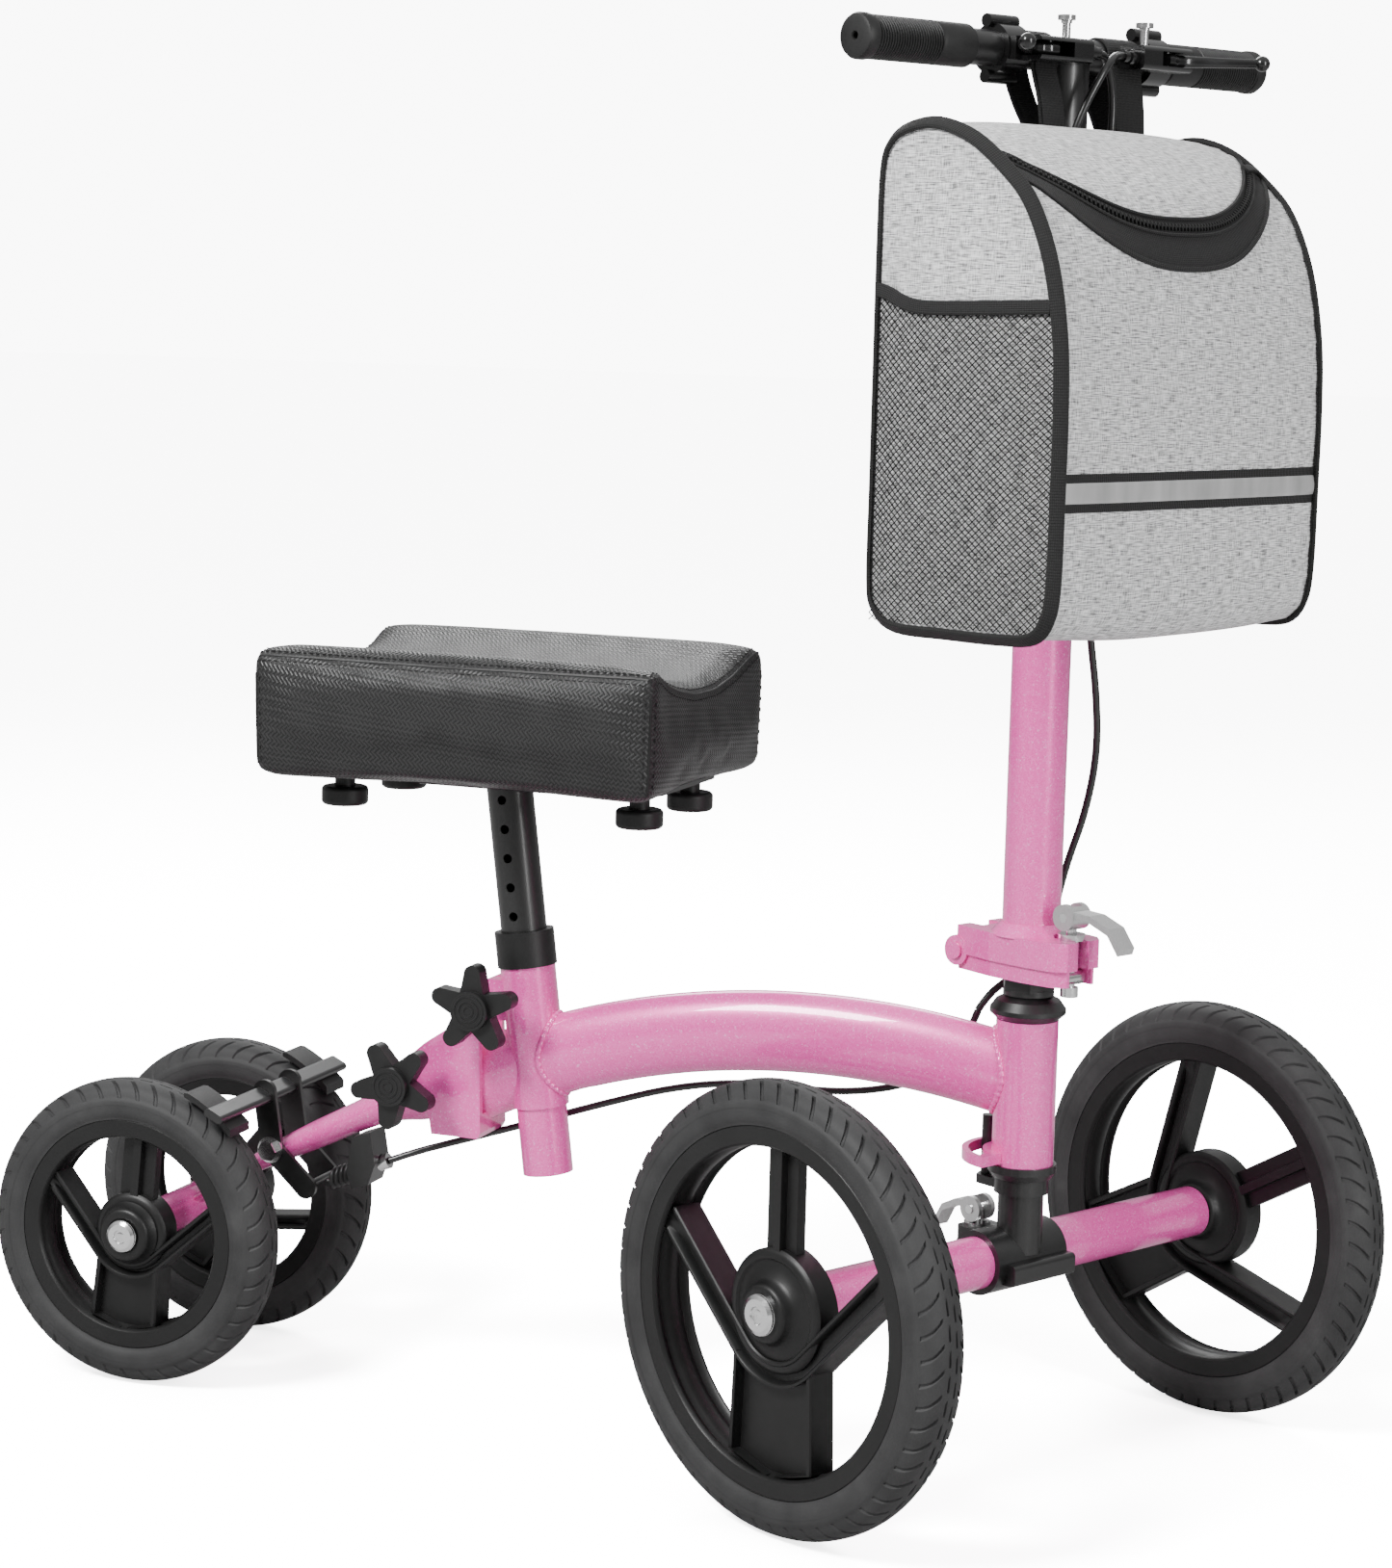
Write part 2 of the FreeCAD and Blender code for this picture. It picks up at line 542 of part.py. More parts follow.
def brake_boot():
    """The ribbed rubber boot over the bare cable between bracket and yoke."""
    axis = CABLE_END_AXIS
    start = CABLE_END + axis * 9.4
    rings = []
    for i in range(5):
        at = start + axis * (4.2 * i)
        rings += [rod(6.0, at, at + axis * 2.3), rod(8.0, at + axis * 2.1, at + axis * 4.4)]
    return fuse_all(rings)


# ---- steering and column --------------------------------------------------------------------
def steerer():
    """The steerer tube from the axle clamp up into the folding joint."""
    shape = tube(STEERER_R, STEERER_R - 2.5, V(0, 0, 150), V(0, 0, FOLD_SEAM - 1))
    seat = rod(21.5, front_axle - Y_AXIS * 40, front_axle + Y_AXIS * 40)
    return shape.cut(seat)


def lock_plate():
    """The plate on the steerer that carries the upright steering-stop pin."""
    ear = plate([(-14, -8), (-34, -7), (-38, 0), (-34, 7), (-14, 8)], 190, 196, "z")
    collar = rod(18.0, V(0, 0, 190), V(0, 0, 200))
    pin = rod(STOP_PIN_R, V(-STOP_PIN_AT, 0, 190), V(-STOP_PIN_AT, 0, 236))
    return fuse_all([ear, collar, pin]).cut(rod(STEERER_R, V(0, 0, 180), V(0, 0, 240)))


def hex_locknut():
    """The headset's hexagonal locknut with a round shoulder."""
    bottom = HEAD_TOP + 16 + GAP
    ring = [V(18.6 * math.cos(math.radians(60 * i + 15)), 18.6 * math.sin(math.radians(60 * i + 15)),
              bottom + 3) for i in range(7)]
    hexagon = Part.Face(Part.makePolygon(ring)).extrude(V(0, 0, FOLD_BOTTOM - bottom - 3))
    shoulder = rod(16.8, V(0, 0, bottom), V(0, 0, bottom + 4))
    shape = fuse_all([hexagon, shoulder])
    return shape.cut(rod(STEERER_R, V(0, 0, bottom - 1), V(0, 0, FOLD_BOTTOM + 1)))


def axle_clamp():
    """The split T-clamp that grips the front axle tube, with ears behind it."""
    x, z = front_axle.x, front_axle.z
    shell = rod(21.5, front_axle - Y_AXIS * 33, front_axle + Y_AXIS * 33)
    rib = block(x + 14, x + 29, -26, 33, z - 12, z + 2)
    rib = round_edges(rib, 3, along("y"))
    ears = block(x - 38, x - 12, -14, 14, z - 15, z + 15)
    ears = round_edges(ears, 6, along("z"))
    shape = fuse_all([shell, rib, ears])
    shape = shape.cut(rod(17.5, front_axle - Y_AXIS * 40, front_axle + Y_AXIS * 40))
    shape = shape.cut(block(x - 45, x - 10, -40, 40, z - 1.5, z + 1.5))
    return shape.cut(rod(4.0, V(x - 30, 0, z - 30), V(x - 30, 0, z + 30)))


def clamp_bolt():
    """The upright bolt through the clamp's ears, with its nut below and pivot above."""
    x, z = front_axle.x - 30, front_axle.z
    shaft = rod(4.0, V(x, 0, z - 25), V(x, 0, z + 27.5))
    nut = rod(8.0, V(x, 0, z - 22), V(x, 0, z - 15))
    washer = rod(9.0, V(x, 0, z + 15), V(x, 0, z + 17))
    eye = rod(3.0, V(x, -9, z + 26), V(x, 9, z + 26))
    return fuse_all([shaft, nut, washer, eye])


def cam_lever(pivot, half_w, reach, droop, tip_w, cut_r):
    """A cam lever on a cross pin along Y: round cam, curved blade, open slot for the bolt."""
    cam = rod(8.6, pivot - Y_AXIS * half_w, pivot + Y_AXIS * half_w)
    spine = [V(0, 0, 5), V(reach * 0.45, 0, 5 - droop * 0.08), V(reach * 0.8, 0, 5 - droop * 0.5),
             V(reach, 0, -droop)]
    under = [V(p.x * 0.97, 0, p.z - 4.5) for p in reversed(spine)]
    corners = [p + pivot - Y_AXIS * tip_w for p in spine + under]
    blade = Part.Face(Part.makePolygon(corners + [corners[0]])).extrude(Y_AXIS * 2 * tip_w)
    shape = fuse_all([cam, blade])
    slot = block(pivot.x - 12, pivot.x + 4.5, -4.5, 4.5, pivot.z - 12, pivot.z + 12)
    slot.translate(V(0, pivot.y, 0))
    shape = shape.cut(slot)
    return shape.cut(rod(cut_r + RUN_FIT, pivot - Y_AXIS * 20, pivot + Y_AXIS * 20))


def clamp_lever():
    """The quick-release lever of the axle clamp, lying back over the ears."""
    pivot = V(front_axle.x - 30, 0, front_axle.z + 26)
    lever = cam_lever(pivot, 8.0, 34, 14, 6.5, 3.0)
    lever.rotate(pivot, Z_AXIS, 180)
    return lever


def front_axle_tube():
    """The wide tube that carries the front wheels."""
    half = FRONT_TRACK_HALF - 21.5
    return tube(17.5, SPINDLE_R, front_axle - Y_AXIS * half, front_axle + Y_AXIS * half)


def fold_outline(x_front, half_w):
    """The plan outline of the folding joint's two halves."""
    return [(FOLD_HINGE_X, 1.2 - half_w), (-14, -half_w - 3), (14, -half_w - 3), (x_front - 8, -half_w),
            (x_front, -half_w + 7), (x_front, half_w - 7), (x_front - 8, half_w),
            (14, half_w + 3), (-14, half_w + 3), (FOLD_HINGE_X, half_w - 1.2)]


def knuckle(y0, y1):
    """One barrel of the fold hinge."""
    centre = V(FOLD_HINGE_X, 0, FOLD_HINGE_Z)
    return rod(10.0, centre + Y_AXIS * y0, centre + Y_AXIS * y1)


def fold_base():
    """The lower half of the folding joint, fixed to the steerer."""
    shape = plate(fold_outline(44, 20), FOLD_BOTTOM, FOLD_SEAM, "z")
    clear = knuckle(-24, 24).fuse(block(FOLD_HINGE_X - 12, FOLD_HINGE_X, -24, 24, 330, 352))
    shape = shape.cut(clear)
    web = block(FOLD_HINGE_X, FOLD_HINGE_X + 14, -8.6, 8.6, FOLD_BOTTOM, FOLD_SEAM)
    shape = shape.fuse([knuckle(-8.6, 8.6), web])
    shape = shape.cut(block(22, 60, -10.5, 10.5, 330, 350))
    shape = shape.cut(rod(STEERER_R, V(0, 0, 330), V(0, 0, FOLD_SEAM - 1)))
    pin_hole = rod(3.0, V(FOLD_HINGE_X, -30, FOLD_HINGE_Z), V(FOLD_HINGE_X, 30, FOLD_HINGE_Z))
    return shape.cut(pin_hole).removeSplitter()


def fold_block():
    """The upper half of the folding joint, welded to the column."""
    body = plate(fold_outline(46, 22), FOLD_SEAM + GAP, FOLD_TOP - 4, "z")
    crown = Part.makeCone(27, STEM_R + 0.5, 8, V(0, 0, FOLD_TOP - 5), Z_AXIS)
    centre_gap = block(FOLD_HINGE_X - 12, FOLD_HINGE_X + 11.5, -9, 9, 330, 370)
    shape = fuse_all([body, crown, knuckle(-22, -9), knuckle(9, 22)])
    shape = shape.cut(centre_gap)
    shape = shape.cut(block(24, 60, -5.2, 5.2, 340, 380))
    shape = shape.cut(rod(STEM_R, V(0, 0, FOLD_SEAM + 12), V(0, 0, 400)))
    hole = rod(3.0 + RUN_FIT, V(FOLD_HINGE_X, -30, FOLD_HINGE_Z), V(FOLD_HINGE_X, 30, FOLD_HINGE_Z))
    return shape.cut(hole).removeSplitter()


def fold_pin():
    """The fold hinge's pin with a low head at each end."""
    pin = rod(3.0, V(FOLD_HINGE_X, -23, FOLD_HINGE_Z), V(FOLD_HINGE_X, 23, FOLD_HINGE_Z))
    heads = [rod(5.5, V(FOLD_HINGE_X, s * 22.4, FOLD_HINGE_Z), V(FOLD_HINGE_X, s * 24, FOLD_HINGE_Z))
             for s in (-1, 1)]
    return fuse_all([pin] + heads)


def fold_bolt():
    """The joint's swing bolt: threaded shank, cross nut, lock nut and washer."""
    x = FOLD_BOLT_X
    shaft = rod(3.5, V(x, 0, 330), V(x, 0, 381))
    cross_nut = rod(5.0, V(x, -9.5, 339), V(x, 9.5, 339))
    nut = rod(5.8, V(x, 0, 326.5), V(x, 0, 333))
    washer = rod(9.0, V(x, 0, FOLD_TOP - 4), V(x, 0, FOLD_TOP))
    eye = rod(3.0, V(x, -9, 379), V(x, 9, 379))
    return fuse_all([shaft, cross_nut, nut, washer, eye])


def fold_spring():
    """The spring on the swing bolt, as its outer envelope."""
    return tube(4.9, 3.5, V(FOLD_BOLT_X, 0, 345), V(FOLD_BOLT_X, 0, FOLD_TOP - 4))


def fold_lever():
    """The quick-release cam lever of the folding joint, drooping forward."""
    return cam_lever(V(FOLD_BOLT_X, 0, 379), 9.0, 47, 14, 7.5, 3.0)


def outer_stem():
    """The painted column tube."""
    return tube(STEM_R, STEM_BORE_R, V(0, 0, FOLD_SEAM + 12), V(0, 0, STEM_TOP))


def height_collar():
    """The clamp at the column's top that holds the handlebar's height."""
    shape = rod(21.6, V(0, 0, STEM_TOP - 22), V(0, 0, STEM_TOP + 4))
    shape = shape.fuse(block(-40, -14, -9, 9, STEM_TOP - 20, STEM_TOP - 2))
    shape = shape.cut(rod(STEM_R, V(0, 0, STEM_TOP - 30), V(0, 0, STEM_TOP)))
    shape = shape.cut(rod(INNER_STEM_R + RUN_FIT, V(0, 0, STEM_TOP - 1), V(0, 0, STEM_TOP + 10)))
    shape = shape.cut(block(-50, -12, -1, 1, STEM_TOP - 30, STEM_TOP + 10))
    return shape.cut(rod(3.0, V(-31, -20, STEM_TOP - 11), V(-31, 20, STEM_TOP - 11)))


def height_bolt():
    """The cross bolt of the height clamp."""
    z = STEM_TOP - 11
    shaft = rod(3.0, V(-31, -16, z), V(-31, 17.9, z))
    nut = rod(6.5, V(-31, -14, z), V(-31, -9, z))
    eye = rod(2.6, V(-31, 16, z - 8), V(-31, 16, z + 8))
    return fuse_all([shaft, nut, eye])


def height_lever():
    """The cam lever of the height clamp, lying back along the column's rear."""
    z = STEM_TOP - 11
    cam = rod(6.5, V(-31, 16, z - 7.5), V(-31, 16, z + 7.5))
    blade = plate([(-31, 13), (-31, 21), (-62, 17), (-74, 9), (-73, 5), (-60, 11)],
                  z - 6.0, z + 6.0, "z")
    shape = fuse_all([cam, blade])
    shape = shape.cut(block(-34.6, -20, 5, 26, z - 3.6, z + 3.6))
    return shape.cut(rod(2.6 + RUN_FIT, V(-31, 16, z - 10), V(-31, 16, z + 10)))


# ---- handlebar ------------------------------------------------------------------------------
def inner_stem():
    """The sliding inner column with the saddle that the bar is welded in."""
    shape = tube(INNER_STEM_R, INNER_STEM_R - 2, V(0, 0, 600), V(0, 0, BAR_Z - 2))
    saddle = rod(INNER_STEM_R, V(0, 0, BAR_Z - 16), V(0, 0, BAR_Z + 4))
    return fuse_all([shape, saddle]).cut(rod(BAR_R, V(0, -60, BAR_Z), V(0, 60, BAR_Z)))


def handlebar():
    """The straight bar."""
    return tube(BAR_R, BAR_R - 1.8, V(0, -BAR_HALF, BAR_Z), V(0, BAR_HALF, BAR_Z))


def grips():
    """Two moulded grips with a closed end."""
    pair = []
    for side in (-1, 1):
        ends = [V(0, side * y, BAR_Z) for y in (92, BAR_HALF + 3)]
        shape = rod(13.4, ends[0], ends[1])
        shape = shape.makeFillet(2.0, [e for e in shape.Edges if e.Length > 50 and len(e.Vertexes) == 1])
        pair.append(shape.cut(rod(BAR_R, V(0, side * 80, BAR_Z), V(0, side * BAR_HALF, BAR_Z))))
    return Part.makeCompound(pair)


def lever_mount(clamp_y, side):
    """A brake lever's bracket: hinged clamp, forward body with a slot, and pivot pin."""
    inward = -side
    ring = rod(15.6, V(0, clamp_y - 10, BAR_Z), V(0, clamp_y + 10, BAR_Z))
    parts = [ring]
    for z in (-17, 17):
        parts.append(rod(4.2, V(-2, clamp_y - 13, BAR_Z + z), V(-2, clamp_y + 13, BAR_Z + z)))
    y0, y1 = sorted((clamp_y - inward * 4, clamp_y + inward * 44))
    body = round_edges(block(15, 37, y0, y1, BAR_Z - 7.5, BAR_Z + 7.5), 3.5, along("y"))
    y0, y1 = sorted((clamp_y - inward * 9, clamp_y + inward * 9))
    neck = block(4, 20, y0, y1, BAR_Z - 7, BAR_Z + 7)
    parts += [body, neck]
    shape = fuse_all(parts).cut(rod(BAR_R, V(0, clamp_y - 20, BAR_Z), V(0, clamp_y + 20, BAR_Z)))
    pivot = V(28, clamp_y + inward * 12, 0)
    s0, s1 = sorted((clamp_y - inward * 6, clamp_y + inward * 26))
    shape = shape.cut(block(19.0, 40, s0, s1, BAR_Z - 4.5, BAR_Z + 4.5))
    pin = rod(2.5, pivot + V(0, 0, BAR_Z - 6), pivot + V(0, 0, BAR_Z + 6))
    lock_y = clamp_y + inward * 31
    shape = shape.fuse(pin)
    return shape.cut(rod(2.6 + RUN_FIT, V(25, lock_y, BAR_Z - 6), V(25, lock_y, BAR_Z + 20)))


def brake_lever(clamp_y, side):
    """A brake lever blade on an upright pivot, sweeping forward and outward to a round tip."""
    inward = -side

    def at(x, inboard):
        return V(x, clamp_y + inward * inboard, BAR_Z - 4.0)
    outline = [at(22, 18), at(20, 8), at(30, -6), at(43, -24), at(58, -44), at(64, -40),
               at(53, -20), at(42, -4), at(35, 8), at(33, 18)]
    blade = Part.Face(Part.makePolygon(outline + [outline[0]])).extrude(V(0, 0, 8))
    boss = rod(7.5, at(28, 12), at(28, 12) + V(0, 0, 8))
    ball = Part.makeSphere(5.0, at(61, -43) + V(0, 0, 4))
    shape = fuse_all([blade, boss, ball])
    return shape.cut(rod(2.5 + RUN_FIT, at(28, 12) - V(0, 0, 5), at(28, 12) + V(0, 0, 20)))


def parking_pin(clamp_y, side):
    """The sprung parking-lock pin standing in the lever bracket, with a flat head."""
    y = clamp_y - side * 31
    shaft = rod(2.6, V(25, y, BAR_Z - 1), V(25, y, BAR_Z + 20))
    head = rod(5.6, V(25, y, BAR_Z + 19), V(25, y, BAR_Z + 22))
    ridge = rod(3.4, V(25, y, BAR_Z + 17), V(25, y, BAR_Z + 19.5))
    return fuse_all([shaft, head, ridge])


def cable_adjusters():
    """The two barrel adjusters where the cables leave the lever brackets."""
    pair = []
    for clamp_y, side in ((RIGHT_CLAMP_Y, -1), (LEFT_CLAMP_Y, 1)):
        inward = -side
        start, mid, end = [V(29, clamp_y + inward * y, BAR_Z) for y in (44, 51, 56)]
        body = rod(5.0, start, mid).fuse(rod(4.0, mid, end))
        pair.append(body.removeSplitter())
    return Part.makeCompound(pair)


def bag():
    """The soft bag: an upright pouch with an arched top, hung in front of the column."""
    depth, low, high = BAG_DEPTH, BAG_BOTTOM, BAG_TOP
    half = BAG_WIDTH / 2
    back_low, back_high = V(0, -half, low + 16), V(0, -half, high - 22)
    shoulder, crown = V(12, -half, high - 5), V(0.30 * depth, -half, high)
    slope, front_high = V(0.80 * depth, -half, high - 42), V(depth, -half, high - 125)
    front_low = V(depth, -half, low + 20)
    bottom_front, bottom_back = V(depth - 20, -half, low), V(16, -half, low)
    top = Part.BSplineCurve()
    top.interpolate([back_high, shoulder, crown, slope, front_high])
    edges = [
        Part.LineSegment(back_low, back_high), top, Part.LineSegment(front_high, front_low),
        Part.LineSegment(front_low, bottom_front), Part.LineSegment(bottom_front, bottom_back),
        Part.LineSegment(bottom_back, back_low),
    ]
    face = Part.Face(Part.Wire([e.toShape() for e in edges]))
    shape = face.extrude(V(0, BAG_WIDTH, 0))
    shape.translate(V(BAG_BACK_X, BAG_MID_Y, 0))
    shape.rotate(V(BAG_BACK_X, BAG_MID_Y, 0), Z_AXIS, BAG_TURN)
    return shape


def bag_straps():
    """Two webbing loops that go over the bar and down to the bag's back."""
    loops = []
    near, far = BAR_R + 0.9, BAR_R + 2.7
    for y0, y1 in STRAPS:
        back = BAG_BACK_X - math.tan(math.radians(BAG_TURN)) * (y1 - BAG_MID_Y) - 2.0
        over = Part.makeCylinder(far, y1 - y0, V(0, y0, BAR_Z), Y_AXIS)
        under = Part.makeCylinder(near, y1 - y0 + 2, V(0, y0 - 1, BAR_Z), Y_AXIS)
        ring = over.cut(under).cut(block(-30, 30, y0 - 1, y1 + 1, BAR_Z - 30, BAR_Z))
        front = plate([(near, BAR_Z), (far, BAR_Z), (far, BAR_Z - 13), (back, STRAP_LOW),
                       (back - 1.8, STRAP_LOW), (near, BAR_Z - 12)], y0, y1)
        rear = plate([(-near, BAR_Z), (-far, BAR_Z), (-far, BAR_Z - 10), (back - 6, STRAP_LOW),
                      (back - 4.2, STRAP_LOW), (-near, BAR_Z - 9)], y0, y1)
        loops.append(fuse_all([ring, front, rear]))
    return Part.makeCompound(loops)


# ---- brake cable ----------------------------------------------------------------------------
LEFT_CABLE = [V(29, 22, BAR_Z), V(29, 16.5, BAR_Z), V(32, 10, 924), V(34, 2.5, 919), V(33.5, -4, 910),
              V(30.5, -10, 898), V(25.5, -15, 881), V(21, -17.7, 862), V(16.5, -22, 838),
              V(9, -27, 811), V(2, -29, 778), V(-6, -28, 742), V(-18, -20, 718), V(-26, -2, 705),
              V(-22, 17, 696), V(-11, 28.5, 688), V(0, 32, 677), V(5.2, 31, 661)]
RIGHT_CABLE = [V(29, -2, BAR_Z), V(29, 3.5, BAR_Z), V(26, 10, 922.8), V(23.8, 16.3, 916),
               V(22.4, 21, 907), V(21.4, 23.6, 895), V(20.6, 24, 878), V(19.3, 24, 861),
               V(17.5, 24.6, 842), V(14, 27, 814), V(11, 30.4, 775), V(10, 31.3, 730),
               V(10.9, 31, 692), V(10.8, 31, 661)]
LOOP = [V(8, 31, 629.6), V(8, 31.4, 610), V(8.8, 32.2, 586), V(10.5, 35, 556), V(12.3, 41, 520),
        V(12, 45, 480), V(8, 40, 440), V(-2, 34.5, 405), V(-9, 33, 375), V(-14, 33.5, 350)]
LOOP_END = [V(-10, 37, 334), V(-25, 35, 323), V(-36, 31, 313), V(-42, 29, 302.5)]
UNDERBEAM = [V(-42, 29, 302), V(-54, 27, 268), V(-90, 24, 246), V(-140, 22, 237),
             V(-195, 21.5, 239), V(-250, 21, 231), V(-308, 20.5, 212), V(-366, 21, 191),
             V(-418, 14, 174), V(-444, 5, 166), V(-460, 0, 159.4)]


def steer_points(points):
    """Points given in the straight-ahead front end, turned with it."""
    turn = FreeCAD.Rotation(Z_AXIS, STEER_AT_REST)
    return [turn.multVec(p) for p in points]


def upper_cables():
    """The two cables from the levers down to the splitter behind the bag."""
    return [bend_cord("left_brake_cable", LEFT_CABLE, CABLE_R),
            bend_cord("right_brake_cable", RIGHT_CABLE, CABLE_R)]


def cable_splitter():
    """The sleeve where the two lever cables join into one."""
    return rod(SPLITTER_R, SPLITTER_TOP, SPLITTER_BOTTOM)


def loop_cable():
    """The free loop of cable beside the column, down to the head tube."""
    return bend_cord("cable_loop", steer_points(LOOP) + LOOP_END, CABLE_R)


def frame_cable():
    """The cable under the beam, back to the brake's adjuster."""
    return bend_cord("frame_cable", UNDERBEAM, CABLE_R)


# ---- placing and writing --------------------------------------------------------------------
def save(name, shape, steered=False):
    """Turns a front-end part with the steering, moves it to the scooter's frame and writes it."""
    shape = shape.copy()
    if steered:
        shape.rotate(V(0, 0, 0), Z_AXIS, STEER_AT_REST)
    shape.translate(V(ROW_SHIFT_X, 0, 0))
    valid = shape.isValid() and all(s.isValid() for s in shape.Solids)
    if not valid or not shape.Solids:
        print("CHECK", name, "valid", valid, "solids", len(shape.Solids))
    shape.exportStep("parts/" + name + ".step")


def save_wheels():
    """Four tyres and four rims."""
    corners = [
        ("front_right", front_axle, -FRONT_TRACK_HALF, FRONT_WHEEL_R, FRONT_RIM_R, True, 0),
        ("front_left", front_axle, FRONT_TRACK_HALF, FRONT_WHEEL_R, FRONT_RIM_R, True, 60),
        ("rear_right", rear_axle, -REAR_TRACK_HALF, REAR_WHEEL_R, REAR_RIM_R, False, 5),
        ("rear_left", rear_axle, REAR_TRACK_HALF, REAR_WHEEL_R, REAR_RIM_R, False, 40),
    ]
    for name, axle, y, outer, seat, steered, phase in corners:
        centre = axle + Y_AXIS * y
        save("tyre_" + name, tyre(outer, seat, centre), steered)
        save("rim_" + name, rim(seat, centre, phase), steered)


def save_frame():
    """Everything that is fixed to the frame, or moves on it apart from the front end."""
    save("main_beam", main_beam())
    save("head_tube", head_tube())
    save("seat_tube", seat_tube())
    save("rear_bracket", rear_bracket())
    save("rear_arm", rear_arm())
    save("rear_axle", axle_with_heads(rear_axle, REAR_TRACK_HALF + 20.6, 11.0))
    save("headset_cups", headset_cups())
    save("seat_collar", seat_collar())
    save("joint_bolts", joint_bolts())
    save("seat_star_knob", star_knob(SEAT_BOLT_X, SEAT_BOLT_Z, 90))
    save("arm_star_knob", star_knob(ARM_BOLT_X, ARM_BOLT_Z, 48))
    save("seat_post", seat_post())
    save("seat_plate", seat_plate())
    save("pad", pad())
    save("pad_knobs", pad_knobs())
    save("brake_arm", brake_arm())
    save("brake_shoes", brake_shoes())
    save("brake_bolt", brake_bolt())
    save("brake_bracket", brake_bracket())
    save("brake_adjuster", brake_adjuster())
    save("brake_boot", brake_boot())
    save("brake_cable_frame", frame_cable())
    save("brake_cable_loop", loop_cable())


def save_front():
    """Everything that turns with the steering."""
    front = {
        "steerer": steerer(), "lock_plate": lock_plate(), "hex_locknut": hex_locknut(),
        "axle_clamp": axle_clamp(), "clamp_bolt": clamp_bolt(), "clamp_lever": clamp_lever(),
        "front_axle_tube": front_axle_tube(),
        "front_axle": axle_with_heads(front_axle, FRONT_TRACK_HALF + 20.6, 13.0),
        "fold_base": fold_base(), "fold_pin": fold_pin(), "fold_block": fold_block(),
        "fold_bolt": Part.makeCompound([fold_bolt(), fold_spring()]), "fold_lever": fold_lever(),
        "outer_stem": outer_stem(), "height_lever": height_lever(),
        "height_collar": Part.makeCompound([height_collar(), height_bolt()]),
        "inner_stem": inner_stem(), "handlebar": handlebar(), "grips": grips(),
        "cable_adjusters": cable_adjusters(), "bag": bag(), "bag_straps": bag_straps(),
        "brake_cables_upper": Part.makeCompound(upper_cables() + [cable_splitter()]),
    }
    for word, clamp_y, side in (("right", RIGHT_CLAMP_Y, -1), ("left", LEFT_CLAMP_Y, 1)):
        front["lever_mount_" + word] = lever_mount(clamp_y, side)
        front["brake_lever_" + word] = brake_lever(clamp_y, side)
        front["parking_pin_" + word] = parking_pin(clamp_y, side)
    for name, shape in front.items():
        save(name, shape, steered=True)


os.makedirs("parts", exist_ok=True)
save_wheels()
save_frame()
save_front()
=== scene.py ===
import json
import math

import bmesh
import bpy
from mathutils import Matrix, Vector, noise
from mathutils.bvhtree import BVHTree


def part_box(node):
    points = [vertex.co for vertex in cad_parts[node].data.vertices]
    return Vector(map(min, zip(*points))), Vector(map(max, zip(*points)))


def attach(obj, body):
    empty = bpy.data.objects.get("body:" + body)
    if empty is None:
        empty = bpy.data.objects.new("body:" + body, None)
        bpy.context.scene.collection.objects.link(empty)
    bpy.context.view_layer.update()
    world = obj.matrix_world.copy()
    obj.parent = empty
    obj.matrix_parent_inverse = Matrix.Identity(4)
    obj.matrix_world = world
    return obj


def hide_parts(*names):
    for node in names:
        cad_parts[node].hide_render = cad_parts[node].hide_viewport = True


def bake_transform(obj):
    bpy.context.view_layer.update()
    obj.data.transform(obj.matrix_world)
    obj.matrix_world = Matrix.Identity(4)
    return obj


# Looks of the knee scooter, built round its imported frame.  Metres, +X the way it travels, +Y the
# rider's left, +Z up.  The front end stands turned to the rider's right: its pieces are laid out
# straight ahead from the foot of the steering axis, and FRONT turns them into place.

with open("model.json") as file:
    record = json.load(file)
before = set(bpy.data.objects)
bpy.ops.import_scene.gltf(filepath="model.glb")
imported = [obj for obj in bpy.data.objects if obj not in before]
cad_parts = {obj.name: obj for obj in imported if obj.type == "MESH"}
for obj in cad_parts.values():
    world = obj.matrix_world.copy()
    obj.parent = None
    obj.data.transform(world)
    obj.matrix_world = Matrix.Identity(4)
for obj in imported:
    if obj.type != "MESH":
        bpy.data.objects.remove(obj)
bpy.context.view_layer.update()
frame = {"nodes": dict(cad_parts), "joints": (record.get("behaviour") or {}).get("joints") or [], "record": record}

JOINTS = {joint["name"]: joint for joint in frame["joints"]}
UP = Vector((0, 0, 1))


def axis_place(origin, axle):
    """The matrix whose Y axis runs along `axle`, with Z up."""
    y = Vector(axle).normalized()
    x = y.cross(UP)
    place = Matrix((x, y, UP)).transposed().to_4x4()
    place.translation = Vector(origin)
    return place


def new_object(name, data):
    """An object that holds `data`, linked into the scene."""
    thing = bpy.data.objects.new(name, data)
    bpy.context.scene.collection.objects.link(thing)
    return thing


STEER_FOOT = Vector(JOINTS["steering"]["pos_m"])
STEER_FOOT.z = 0
FRONT = axis_place(STEER_FOOT, JOINTS["front_left_spin"]["axis"])
REAR = Matrix.Translation(STEER_FOOT)


